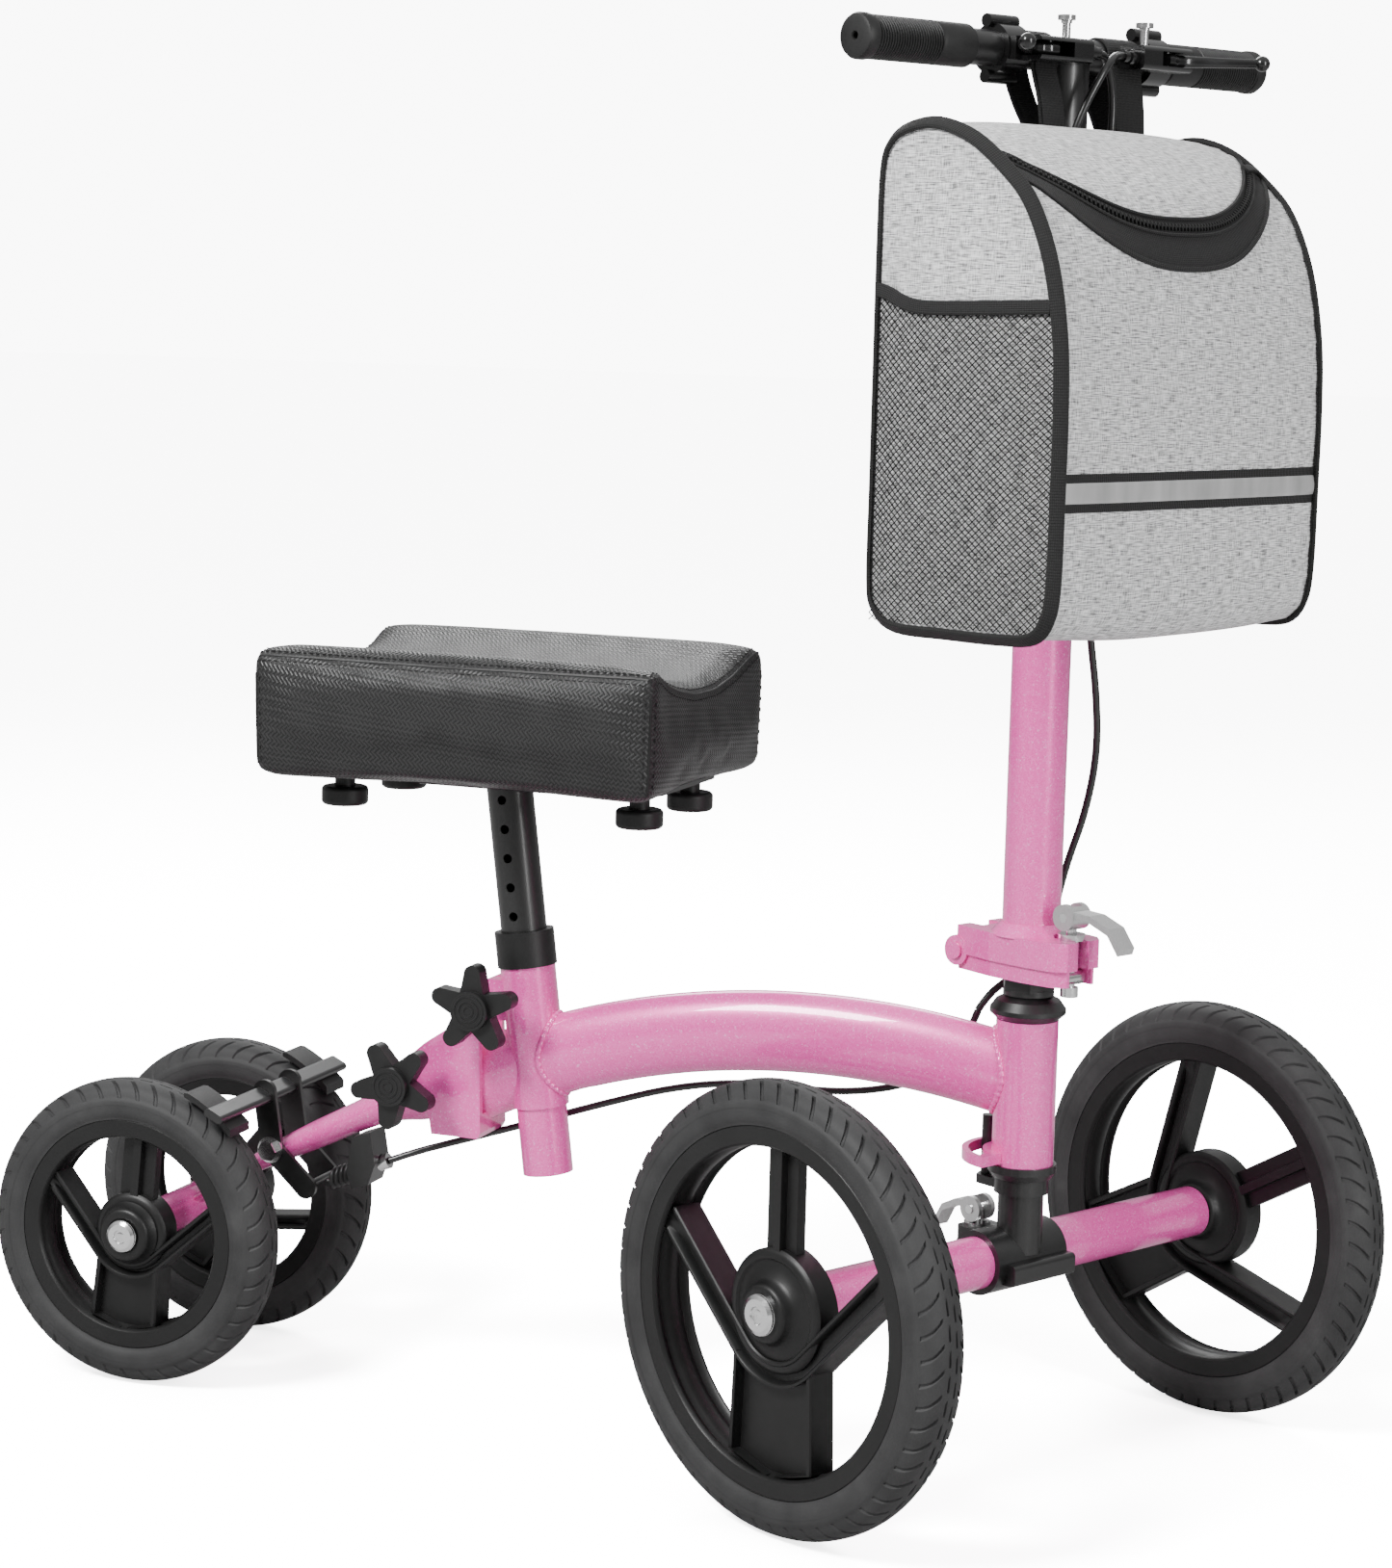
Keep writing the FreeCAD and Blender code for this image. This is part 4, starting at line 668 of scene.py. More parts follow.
def wheels():
    """All four wheels; the left ones are the right ones turned about."""
    for name, turn, lead in (("front_right", 0, 1), ("front_left", 60, -1),
                             ("rear_right", 5, 1), ("rear_left", 40, -1)):
        tyre(name, name + "_spin", lead)
        rim(name, name + "_spin", turn)


# ---- helpers for finished parts -------------------------------------------------------------
CABLE_RADIUS = 0.0025


def mesh_tree(nodes):
    """A search tree over the CAD meshes of some nodes."""
    points, faces = [], []
    for node in nodes:
        mesh = frame["nodes"][node].data
        base = len(points)
        points.extend(v.co.copy() for v in mesh.vertices)
        faces.extend([base + i for i in polygon.vertices] for polygon in mesh.polygons)
    return BVHTree.FromPolygons(points, faces)


def cable(name, points, place=None):
    """A round cable: a NURBS spline with the given points as its control points, made into a mesh."""
    curve = bpy.data.curves.new(name, "CURVE")
    curve.dimensions = "3D"
    curve.bevel_depth = CABLE_RADIUS
    curve.bevel_resolution = 4
    curve.use_fill_caps = True
    spline = curve.splines.new("NURBS")
    spline.points.add(len(points) - 1)
    for target, point in zip(spline.points, points):
        spot = place @ Vector(point) if place else Vector(point)
        target.co = (*spot, 1)
    spline.order_u = 3
    spline.use_endpoint_u = True
    spline.resolution_u = 8
    holder = new_object(name + "_curve", curve)
    graph = bpy.context.evaluated_depsgraph_get()
    mesh = bpy.data.meshes.new_from_object(holder.evaluated_get(graph))
    bpy.data.objects.remove(holder)
    return jacketed(name, mesh)


def jacketed(name, mesh):
    """A smooth-shaded cable piece."""
    mesh.materials.clear()
    mesh.materials.append(MATERIALS["cable_jacket"])
    mesh.shade_smooth()
    return new_object(name, mesh)


def slice_between(piece, name, low, high):
    """A copy of the piece cut to the heights between `low` and `high`."""
    bm = bmesh.new()
    bm.from_mesh(piece.data)
    for height, side in ((low, -1), (high, 1)):
        if height is None:
            continue
        everything = bm.verts[:] + bm.edges[:] + bm.faces[:]
        bmesh.ops.bisect_plane(bm, geom=everything, plane_co=(0, 0, height), plane_no=(0, 0, side),
                               clear_outer=True)
    mesh = bpy.data.meshes.new(name)
    bm.to_mesh(mesh)
    bm.free()
    return jacketed(name, mesh)


# ---- brake cables ---------------------------------------------------------------------------
def in_metres(points):
    return [Vector(p) / 1000 for p in points]


LEFT_CABLE = in_metres([
    (29, 22, 926), (29, 16.5, 926), (32, 10, 924), (34, 2.5, 919), (33.5, -4, 910), (30.5, -10, 898),
    (25.5, -15, 881), (21, -17.7, 862), (16.5, -22, 838), (9, -27, 811), (2, -29, 778), (-6, -28, 742),
    (-18, -20, 718), (-26, -2, 705), (-22, 17, 696), (-11, 28.5, 688), (0, 32, 677), (5.2, 31, 661)])
RIGHT_CABLE = in_metres([
    (29, -2, 926), (29, 3.5, 926), (26, 10, 922.8), (23.8, 16.3, 916), (22.4, 21, 907), (21.4, 23.6, 895),
    (20.6, 24, 878), (19.3, 24, 861), (17.5, 24.6, 842), (14, 27, 814), (11, 30.4, 775), (10, 31.3, 730),
    (10.9, 31, 692), (10.8, 31, 661)])
LOOP = in_metres([
    (8, 31, 629.6), (8, 31.4, 610), (8.8, 32.2, 586), (10.5, 35, 556), (12.3, 41, 520), (12, 45, 480),
    (8, 40, 440), (-2, 34.5, 405), (-9, 33, 375), (-14, 33.5, 350)])
LOOP_END = in_metres([(-10, 37, 334), (-25, 35, 323), (-36, 31, 313), (-42, 29, 302.5)])
UNDERBEAM = in_metres([
    (-42, 29, 302), (-54, 27, 268), (-90, 24, 246), (-140, 22, 237), (-195, 21.5, 239), (-250, 21, 231),
    (-308, 20.5, 212), (-366, 21, 191), (-418, 14, 174), (-444, 5, 166), (-460, 0, 159.4)])


def brake_cables():
    """The two lever cables, their splitter, the loop beside the column and the run under the beam."""
    left = cable("cable_left", LEFT_CABLE, FRONT)
    settle(left, "bar", ["brake_cables_upper"])
    settle(cable("cable_right", RIGHT_CABLE, FRONT), "bar")
    sleeve = [(-0.0155, 0.0035), (-0.0155, 0.0048), (-0.0140, 0.0058), (0.0140, 0.0058),
              (0.0155, 0.0050), (0.0155, 0.0035)]
    upright = FRONT @ Matrix.Translation((0.008, 0.031, 0.6455)) @ Matrix.Rotation(math.pi / 2, 4, "X")
    add_piece("cable_sleeve", Shells().turned(sleeve, segments=32), "bar", "black_alloy", upright)
    whole = cable("loop_whole", [FRONT @ p for p in LOOP] + [REAR @ p for p in LOOP_END])
    cuts = (("loop_upper", "bar", "column", None, 0.480, 0.625),
            ("loop_middle", "column", "front", 0.480, 0.350, 0.470),
            ("loop_lower", "front", "frame", 0.350, None, 0.345))
    for name, a, b, top, bottom, start in cuts:
        part = slice_between(whole, name, bottom, top)
        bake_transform(part)
        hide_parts("brake_cable_loop")
    bpy.data.objects.remove(whole)
    under = cable("cable_underbeam", UNDERBEAM, REAR)
    settle(under, "frame", ["brake_cable_frame"])


# ---- bag ------------------------------------------------------------------------------------
BAG_HALF = 0.131              # half the bag's width, seam to seam
BAG_PLACE = FRONT @ Matrix.Translation((0.030, -0.070, 0)) @ Matrix.Rotation(math.radians(4), 4, "Z")
BAG_OUTLINE = [
    (0.000, 0.606), (0.000, 0.660), (0.000, 0.730), (0.000, 0.800), (0.001, 0.846), (0.006, 0.861),
    (0.018, 0.8695), (0.041, 0.8725), (0.068, 0.864), (0.094, 0.8455), (0.1125, 0.826),
    (0.1275, 0.793), (0.136, 0.752), (0.1385, 0.710), (0.1385, 0.660), (0.138, 0.612),
    (0.1345, 0.591), (0.124, 0.5795), (0.100, 0.577), (0.060, 0.577), (0.020, 0.578), (0.004, 0.588)]


def bag_outline():
    """The bag's side outline, smoothed, with its running length."""
    count = len(BAG_OUTLINE)
    pts = [Vector((u, 0, z)) for u, z in BAG_OUTLINE]
    loop = []
    for i in range(count):
        a, b, c, d = pts[i - 1], pts[i], pts[(i + 1) % count], pts[(i + 2) % count]
        loop.extend(between(a, b, c, d, k / 5) for k in range(5))
    runs = [0.0]
    for p, q in zip(loop, loop[1:] + loop[:1]):
        runs.append(runs[-1] + (q - p).length)
    return loop, runs


BAG_LOOP, BAG_RUNS = bag_outline()
BAG_MIDDLE = Vector((0.070, 0, 0.715))


def outline_at(run):
    """The point and the outward direction at a length along the bag's outline."""
    for i, (a, b) in enumerate(zip(BAG_RUNS, BAG_RUNS[1:])):
        if run <= b:
            share = (run - a) / (b - a)
            p, q = BAG_LOOP[i], BAG_LOOP[(i + 1) % len(BAG_LOOP)]
            before = BAG_LOOP[i - 1]
            after = BAG_LOOP[(i + 2) % len(BAG_LOOP)]
            along = (q - before).normalized().lerp((after - p).normalized(), share).normalized()
            return p.lerp(q, share), Vector((-along.z, 0, along.x))
    return BAG_LOOP[0].copy(), Vector((-1, 0, 0))


def bag_point(run, v, lift=0.0):
    """A point on the bag's wrapped panel, with its stuffed bulge and soft creases."""
    spot, out = outline_at(run)
    edge = min(1.0, abs(v) / BAG_HALF)
    belly = 1 - edge ** 2.6
    swell = 0.0042 * belly * (0.35 if spot.x < 0.01 else 1.0)
    crease = noise.noise(Vector((run * 9, v * 12, 3.1))) * 0.0022 * belly
    pucker = 0.0007 * math.sin(run * 420 + 3 * math.sin(run * 37)) * edge ** 10
    point = spot + out * (swell + crease + pucker + lift)
    point.y = v
    return point


def side_height(side, ring, u, z):
    """How far out a side panel stands at (u, z): its stuffing dies away to the seam at ring 1."""
    puff = 0.0062 * (1 - ring ** 2.2) + 0.0012 * noise.noise(Vector((u * 16, z * 11, side)))
    return BAG_HALF + puff * (1 - ring ** 6)


def side_point(side, ring, index):
    """A point on a side panel: ring 1 is its seam, ring 0 its middle."""
    spot = BAG_MIDDLE.lerp(BAG_LOOP[index], ring)
    spot.y = side * side_height(side, ring, spot.x, spot.z)
    return spot


def side_surface(side, u, z, lift):
    """The point of a side panel over (u, z)."""
    ray = Vector((u, 0, z)) - BAG_MIDDLE
    best, index = -2.0, 0
    for i, p in enumerate(BAG_LOOP):
        match = (p - BAG_MIDDLE).normalized().dot(ray.normalized()) if ray.length > 1e-6 else 0
        if match > best:
            best, index = match, i
    ring = min(1.0, ray.length / (BAG_LOOP[index] - BAG_MIDDLE).length)
    return Vector((u, side * (side_height(side, ring, u, z) + lift), z))


def zip_run(v):
    """Where the zip crosses the wrapped panel: low in the middle, climbing to the side seams."""
    return 0.3955 - 0.062 * (abs(v + 0.004) / BAG_HALF) ** 2.5


def tape_run(v):
    """The lower edge of the zip's black facing."""
    return zip_run(v) + 0.0250 - 0.008 * (abs(v + 0.004) / BAG_HALF) ** 2.0


def bag():
    """The heathered bag: a wrapped panel between two stuffed side panels."""
    loop_count = len(BAG_LOOP)
    wrap = Shells()
    columns = 40
    rows = []
    for i in range(columns + 1):
        v = -BAG_HALF + 2 * BAG_HALF * i / columns
        rows.append([bag_point(BAG_RUNS[j], v) for j in range(loop_count)])
    wrap.skin(rows, caps=False, uvs=lambda i, j: (2 * BAG_HALF * i / columns, BAG_RUNS[j]))
    for side in (-1, 1):
        rings = [[side_point(side, 1 - 0.98 * (k / 12) ** 0.8, j) for j in range(loop_count)]
                 for k in range(13)]

        def side_uv(i, j, rings=rings):
            spot = rings[i][j % loop_count]
            return spot.x + 0.5, spot.z
        wrap.skin(rings, caps=False, uvs=side_uv)
        base = len(wrap.points)
        wrap.faces.append([base - loop_count + j for j in range(loop_count)])
    piece = add_piece("bag_shell", wrap, None, "bag_cloth", BAG_PLACE, crease=80)
    settle(piece, "bar", ["bag"])


def ribbon(name, runs, stations, thickness, slot, material=None):
    """A thin band laid on the wrapped panel between two lengths, each a function of v."""
    across = 8
    rows = []
    for v in stations:
        low, high = runs(v)
        spots = []
        for k in range(across + 1):
            run = low + (high - low) * k / across
            ends = k in (0, across)
            spots.append(bag_point(run, v, thickness * (0.6 if ends else 1.0)))
        under = [bag_point(low + (high - low) * k / across, v, -0.0004) for k in (across, 0)]
        rows.append(spots + under)
    widths = [k / across for k in range(across + 1)] + [1.0, 0.0, 0.0]
    span = runs(0.0)[1] - runs(0.0)[0]
    shells = Shells().skin(rows, uvs=lambda i, j: (stations[i], widths[j] * span))
    return add_piece(name, shells, "bar", slot, BAG_PLACE, material)


def on_panel(run, v):
    """A point of the wrapped panel with its outward direction."""
    return bag_point(run, v), outline_at(run)[1]


def bag_trim():
    """Binding on the side seams, the zip with its facing, and the reflective band."""
    count = len(BAG_LOOP)
    tape = round_box(0.0047, 0.0017, 0.0015, 3)
    for side, word in ((-1, "right"), (1, "left")):
        path = [Vector((p.x, side * (BAG_HALF - 0.0008), p.z)) for p in BAG_LOOP]
        outs = [outline_at(BAG_RUNS[j])[1] for j in range(count)]

        def over(i, outs=outs, side=side):
            return outs[i % count] + Vector((0, side * 0.85, 0))
        seat = [p + outs[j] * 0.0004 for j, p in enumerate(path)]
        shells = Shells().swept(seat, tape, side=over, closed=True, uv=True)
        add_piece("bag_binding_" + word, shells, "bar", "webbing", BAG_PLACE)
    steps = 70
    stations = [-BAG_HALF + 0.003 + (2 * BAG_HALF - 0.006) * k / steps for k in range(steps + 1)]
    ribbon("zip_facing", lambda v: (zip_run(v) - 0.0055, tape_run(v)), stations, 0.0009, "webbing")
    for word, shift in (("top", -0.0058), ("low", 0.0044)):
        path = [on_panel(zip_run(v) + shift, v) for v in stations]
        shells = Shells().swept([p + out * 0.0012 for p, out in path], circle(0.0011, 8),
                                side=lambda i, path=path: path[i][1], uv=True)
        add_piece("zip_cord_" + word, shells, "bar", "webbing", BAG_PLACE)
    hem = [on_panel(tape_run(v), v) for v in stations]
    shells = Shells().swept([p + out * 0.0010 for p, out in hem], round_box(0.0016, 0.0009, 0.0006, 2),
                            side=lambda i: hem[i][1], uv=True)
    add_piece("zip_hem", shells, "bar", "webbing", BAG_PLACE)
    teeth = Shells()
    pitch, v, side = 0.00165, -BAG_HALF + 0.006, 1
    while v < BAG_HALF - 0.006:
        at, out = on_panel(zip_run(v), v)
        ahead, _ = on_panel(zip_run(v + 0.001), v + 0.001)
        along = (ahead - at).normalized()
        across = out.cross(along) * side
        centre = at + out * 0.0016 + across * 0.0006
        rows = []
        for step in (-0.00055, 0.00055):
            middle = centre + along * step
            rows.append([middle + across * a + out * b for a, b in
                         ((-0.0012, -0.0008), (0.0016, -0.0008), (0.0016, 0.0006), (0.0008, 0.0010),
                          (-0.0010, 0.0010))])
        teeth.skin(rows)
        slope = math.hypot(1.0, (zip_run(v + 0.001) - zip_run(v)) / 0.001)
        v += pitch / slope
        side = -side
    add_piece("zip_teeth", teeth, "bar", "knob_plastic", BAG_PLACE)
    puller = Shells()
    at, out = on_panel(zip_run(0.118), 0.118)
    puller.swept([at + out * 0.0028 + Vector((0, -0.005, 0)), at + out * 0.0036,
                  at + out * 0.0028 + Vector((0, 0.005, 0))], round_box(0.0032, 0.0018, 0.0010), side=out)
    puller.swept([at + out * 0.0044, at + out * 0.0042 + Vector((0.002, 0.004, -0.010)),
                  at + out * 0.0036 + Vector((0.003, 0.006, -0.022))],
                 round_box(0.0026, 0.0008, 0.0006), side=out)
    add_piece("zip_slider", puller, "bar", "knob_plastic", BAG_PLACE)
    low = next(run for run in (0.40 + 0.001 * k for k in range(200)) if outline_at(run)[0].z < 0.6745)
    for word, start, width, thick, material in (
            ("band", 0.0, 0.0222, 0.0009, None), ("strip", 0.0051, 0.0120, 0.0015, silver_strip())):
        slot = "webbing" if material is None else "bag_cloth"
        ribbon("reflective_" + word, lambda v, a=low + start, b=low + start + width: (a, b),
               stations, thick, slot, material)


def pockets():
    """A net pocket on each side: diamond mesh, and an elastic band along its mouth."""
    for side, word in ((-1, "right"), (1, "left")):
        def mouth(u):
            return 0.7660 + 0.010 * math.exp(-((u - 0.002) / 0.022) ** 2) + 0.003 * (u / 0.138) ** 2

        def inside(u, z):
            """Whether a knot lies between the bag's back and front seams, below the mouth."""
            front = min((p for p in BAG_LOOP if p.x > 0.07), key=lambda p: abs(p.z - z))
            return 0.002 < u < front.x - 0.002 and 0.5805 < z < mouth(u)
        points, edges, index = [], [], {}
        du, dz = 0.0025, 0.0021
        for i in range(int(0.138 / du) + 1):
            for k in range(int(0.20 / dz) + 1):
                u, z = i * du, 0.579 + k * dz
                if (i + k) % 2 == 0 and inside(u, z):
                    index[i, k] = len(points)
                    points.append(side_surface(side, u, z, 0.0017))
        for (i, k), start in index.items():
            for step in ((1, 1), (1, -1)):
                end = index.get((i + step[0], k + step[1]))
                if end is not None:
                    edges.append((start, end))
        net = Shells()
        for a, b in edges:
            p, q = points[a], points[b]
            ahead = (q - p).normalized()
            out = Vector((0, side, 0))
            across = ahead.cross(out).normalized()
            w, t = 0.00042, 0.0003
            net.skin([[end + across * w - out * t, end + out * t * 1.3, end - across * w - out * t]
                      for end in (p, q)], caps=False)
        add_piece("pocket_net_" + word, net, "bar", "webbing", BAG_PLACE)
        path, start = [], 0.001
        for k in range(41):
            u = start + 0.130 * k / 40
            path.append(side_surface(side, u, mouth(u), 0.0022))
        shells = Shells().swept(path, round_box(0.0042, 0.0011, 0.0009, 3), side=(0, side, 0), uv=True)
        add_piece("pocket_band_" + word, shells, "bar", "webbing", BAG_PLACE)


def straps():
    """Two webbing loops over the bar, each with a stitched overlap, down to the bag's back."""
    height = 0.926
    for word, y0, y1 in (("right", -0.044, -0.021), ("left", 0.028, 0.060)):
        middle, half = (y0 + y1) / 2, (y1 - y0) / 2
        back = 0.030 - math.tan(math.radians(4)) * (y1 + 0.070) - 0.002
        r = 0.0121
        front = [(back - 0.0008, 0.846), (back - 0.0012, 0.860), (back * 0.55 + r * 0.45, 0.893),
                 (r + 0.0004, 0.913), (r, 0.921)]
        top = [(r * math.cos(a), height + r * math.sin(a)) for a in (math.pi * k / 10 for k in range(1, 10))]
        rear = [(-r, 0.921), (-r + 0.0003, 0.914), (0.2 * back - 0.6 * r, 0.893), (back - 0.0062, 0.860),
                (back - 0.0060, 0.846)]
        path = smooth_path([Vector((x, middle, z)) for x, z in front + top + rear], 3)
        tape = round_box(half, 0.0008, 0.0007, 3)

        def over(i, path=path):
            a, b = path[max(i - 1, 0)], path[min(i + 1, len(path) - 1)]
            return (b - a).cross(Vector((0, 1, 0)))
        shells = Shells().swept(path, tape, side=over, uv=True)
        lap = [p + Vector((0.0018, 0, 0)) for p in path[:13]]
        narrow = round_box(half * 0.86, 0.0007, 0.0006, 3)
        shells.swept(lap, narrow, side=(1, 0, 0), uv=True)
        piece = add_piece("strap_" + word, shells, None, "webbing", FRONT)
        settle(piece, "bar", ["bag_straps"])


# ---- kneeling pad ---------------------------------------------------------------------------
def box_uv(mesh):
    """Flat UVs in metres, by each face's main direction."""
    layer = mesh.uv_layers.new(name="UVMap") if not mesh.uv_layers else mesh.uv_layers[0]
    for polygon in mesh.polygons:
        n = [abs(c) for c in polygon.normal]
        a, b = ((1, 2), (0, 2), (0, 1))[n.index(max(n))]
        for loop in polygon.loop_indices:
            co = mesh.vertices[mesh.loops[loop].vertex_index].co
            layer.data[loop].uv = (co[a], co[b])


def apply_modifiers(piece):
    """Bakes the modifiers into the mesh."""
    graph = bpy.context.evaluated_depsgraph_get()
    mesh = bpy.data.meshes.new_from_object(piece.evaluated_get(graph))
    piece.modifiers.clear()
    piece.data = mesh


PAD_SWELL = 0.0035            # how far the stuffing may push a point of the cover out
PAD_VOXEL = 0.0045
PAD_DIP, PAD_RIDGE = 0.020, 0.014     # the top's hollow, and the ridge left on each side of it
SEAM_IN = 0.0022              # from the pad's corners in to the upright seams
STITCH_GAP, STITCH_OFF = 0.0042, 0.0042


def pad():
    """The stuffed pad: the CAD shape remeshed, filled by a cloth simulation and smoothed."""
    piece = new_object("pad_cushion", frame["nodes"]["pad"].data.copy())
    lo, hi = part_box("pad")
    middle = (lo + hi) / 2
    for vertex in piece.data.vertices:
        vertex.co = middle + (vertex.co - middle) * 0.990
    remesh = piece.modifiers.new("even", "REMESH")
    remesh.mode, remesh.voxel_size = "VOXEL", PAD_VOXEL
    apply_modifiers(piece)
    rest = [v.co.copy() for v in piece.data.vertices]
    cloth = piece.modifiers.new("stuffing", "CLOTH")
    cloth.settings.use_pressure = True
    cloth.settings.uniform_pressure_force = 4.0
    cloth.settings.tension_stiffness = cloth.settings.compression_stiffness = 60
    cloth.settings.bending_stiffness = 8
    cloth.settings.effector_weights.gravity = 0
    cloth.collision_settings.use_collision = False
    for at in range(1, 21):
        bpy.context.scene.frame_set(at)
    apply_modifiers(piece)
    bpy.context.scene.frame_set(1)
    for vertex, start in zip(piece.data.vertices, rest):
        move = vertex.co - start
        if move.length > PAD_SWELL:
            vertex.co = start + move.normalized() * PAD_SWELL
    smooth = piece.modifiers.new("smooth", "SMOOTH")
    smooth.iterations = 2
    piece.modifiers.new("fine", "SUBSURF").levels = 1
    apply_modifiers(piece)
    box_uv(piece.data)
    piece.data.materials.clear()
    piece.data.materials.append(MATERIALS["pad_cover"])
    piece.data.shade_smooth()
    settle(piece, "seat", ["pad"])
    surface = BVHTree.FromPolygons([v.co for v in piece.data.vertices],
                                   [tuple(p.vertices) for p in piece.data.polygons])
    pad_seams(surface, lo, hi)


def pad_seams(surface, lo, hi):
    """Piped and stitched seams round the top's edge and down the four corners."""
    inset = 0.0045
    lines = []
    for side in (-1, 1):
        y = side * ((hi.y - lo.y) / 2 - inset)
        mid_y = (hi.y + lo.y) / 2
        lines.append([Vector((lo.x + 0.006 + (hi.x - lo.x - 0.012) * k / 60, mid_y + y, hi.z - 0.0065))
                      for k in range(61)])
        for x in (lo.x + SEAM_IN, hi.x - SEAM_IN):
            corner_y = mid_y + side * ((hi.y - lo.y) / 2 - SEAM_IN)
            lines.append([Vector((x, corner_y, lo.z + 0.005 + 0.062 * k / 16)) for k in range(17)])
    for x in (lo.x + SEAM_IN, hi.x - SEAM_IN):
        half = (hi.y - lo.y) / 2
        rows = []
        for k in range(41):
            v = (k / 20 - 1) * (half - 0.010)
            hollow = half - PAD_RIDGE
            dip = PAD_DIP * (1 - (v / hollow) ** 2) if abs(v) < hollow else 0.0
            drop = 0.0065 * max(0.0, (abs(v) - hollow) / PAD_RIDGE)
            rows.append(Vector((x, (hi.y + lo.y) / 2 + v, hi.z - 0.003 - dip - drop)))
        lines.append(rows)
    cord, thread = Shells(), Shells()
    for line in lines:
        seats = [surface.find_nearest(p) for p in line]
        path = [spot - normal * 0.0002 for spot, normal, _, _ in seats]
        path = [path[0]] + [(a + b + c) / 3 for a, b, c in zip(path, path[1:], path[2:])] + [path[-1]]
        normals = [normal for _, normal, _, _ in seats]
        cord.swept(path, circle(0.0011, 8), side=lambda i, normals=normals: normals[i])
        for offset in (-STITCH_OFF, STITCH_OFF):
            run = 0.0
            for a, b, out in zip(path, path[1:], normals):
                ahead = (b - a).normalized()
                across = ahead.cross(out).normalized()
                run += (b - a).length
                if run < STITCH_GAP:
                    continue
                run = 0.0
                spot, normal, _, _ = surface.find_nearest(a + across * offset)
                ends = [spot + normal * 0.0003 + ahead * t for t in (-0.0013, 0.0013)]
                thread.swept(ends, circle(0.00038, 6), side=normal)
    add_piece("pad_piping", cord, "seat", "pad_cover")
    add_piece("pad_stitches", thread, "seat", "pad_cover", material=MATERIALS["webbing"])


# ---- hand controls and small hardware -------------------------------------------------------
def grips():
    """Two moulded grips: a smooth sleeve inboard, fine ribs outboard and a capped end with a hole."""
    profile = [(0.0925, 0.0113), (0.0925, 0.0128), (0.0933, 0.0134), (0.1200, 0.0134), (0.1215, 0.0129)]
    y = 0.1225
    while y < 0.1760:
        profile += [(y, 0.0126), (y + 0.0004, 0.0134), (y + 0.0014, 0.0134), (y + 0.0018, 0.0126)]
        y += 0.0022
    profile += [(0.1775, 0.0128), (0.1782, 0.0138), (0.1800, 0.0141), (0.1845, 0.0141), (0.1866, 0.0130),
                (0.1872, 0.0112), (0.1872, 0.0028), (0.1862, 0.0022), (0.1842, 0.0022), (0.1842, 0.0113)]
    for side, word in ((-1, "right"), (1, "left")):
        mirrored = [(side * y, r) for y, r in profile]
        shells = Shells().turned(mirrored, (0, 0, 0.926), segments=64)
        add_piece("grip_" + word, shells, "bar", "grip_rubber", FRONT, stands_for=["grips"], crease=30)


def brake_levers():
    """Two forged lever blades, waisted and rounded, each with a glossy black end knob."""
    stops = [(30, 17), (28, 12), (25, 4), (28, -6), (36, -17), (45, -29), (53, -37.5), (60, -42.5)]
    wide = [0.0046, 0.0066, 0.0058, 0.0044, 0.0042, 0.0038, 0.0034, 0.0030]
    deep = [0.0036, 0.0040, 0.0040, 0.0038, 0.0034, 0.0031, 0.0029, 0.0028]
    for side, word, clamp in ((-1, "right", -0.058), (1, "left", 0.078)):
        ends = [Vector((x / 1000, clamp - side * y / 1000, 0.926)) for x, y in stops]
        path = smooth_path(ends, 5)
        last = len(path) - 1

        def section(i):
            """A flattened oval that follows the blade's waist."""
            at = i / last * (len(wide) - 1)
            k = min(int(at), len(wide) - 2)
            a = wide[k] + (wide[k + 1] - wide[k]) * (at - k)
            b = deep[k] + (deep[k + 1] - deep[k]) * (at - k)
            return round_box(a, b, b * 0.7, 4)
        shells = Shells().swept(path, section, side=(0, 0, 1))
        add_piece("lever_blade_" + word, shells, "lever_" + word, "black_alloy", FRONT,
                  stands_for=["brake_lever_" + word])
        arc = [(0.0050 * math.cos(math.pi * k / 12), 0.0001 + 0.0050 * math.sin(math.pi * k / 12))
               for k in range(13)]
        knob = Shells().turned(arc, ends[-1] + Vector((0.001, side * 0.001, 0)), segments=32)
        add_piece("lever_knob_" + word, knob, "lever_" + word, "black_alloy", FRONT)


def dome(radius, rise):
    """A low domed cap with a turned ring, along +Y."""
    return [(-0.0006, 0.0003), (-0.0006, radius), (rise * 0.3, radius), (rise * 0.5, radius - 0.0012),
            (rise * 0.55, radius * 0.66), (rise * 0.30, radius * 0.60), (rise * 0.62, radius * 0.52),
            (rise, radius * 0.25), (rise, 0.0003)]


def axle_caps():
    """Bright domed caps on the four axle ends."""
    for word, body, place, x, z, y, radius in (
            ("front", "front", FRONT, -0.008, 0.145, 0.2274, 0.0132),
            ("rear", "frame", REAR, -0.6206, 0.1086, 0.0947, 0.0112)):
        for side, hand in ((-1, "right"), (1, "left")):
            profile = [(side * h, r) for h, r in dome(radius, 0.0030)]
            shells = Shells().turned(profile, (x, side * y, z), segments=64)
            add_piece("axle_cap_" + word + "_" + hand, shells, body, "chrome", place, crease=25)


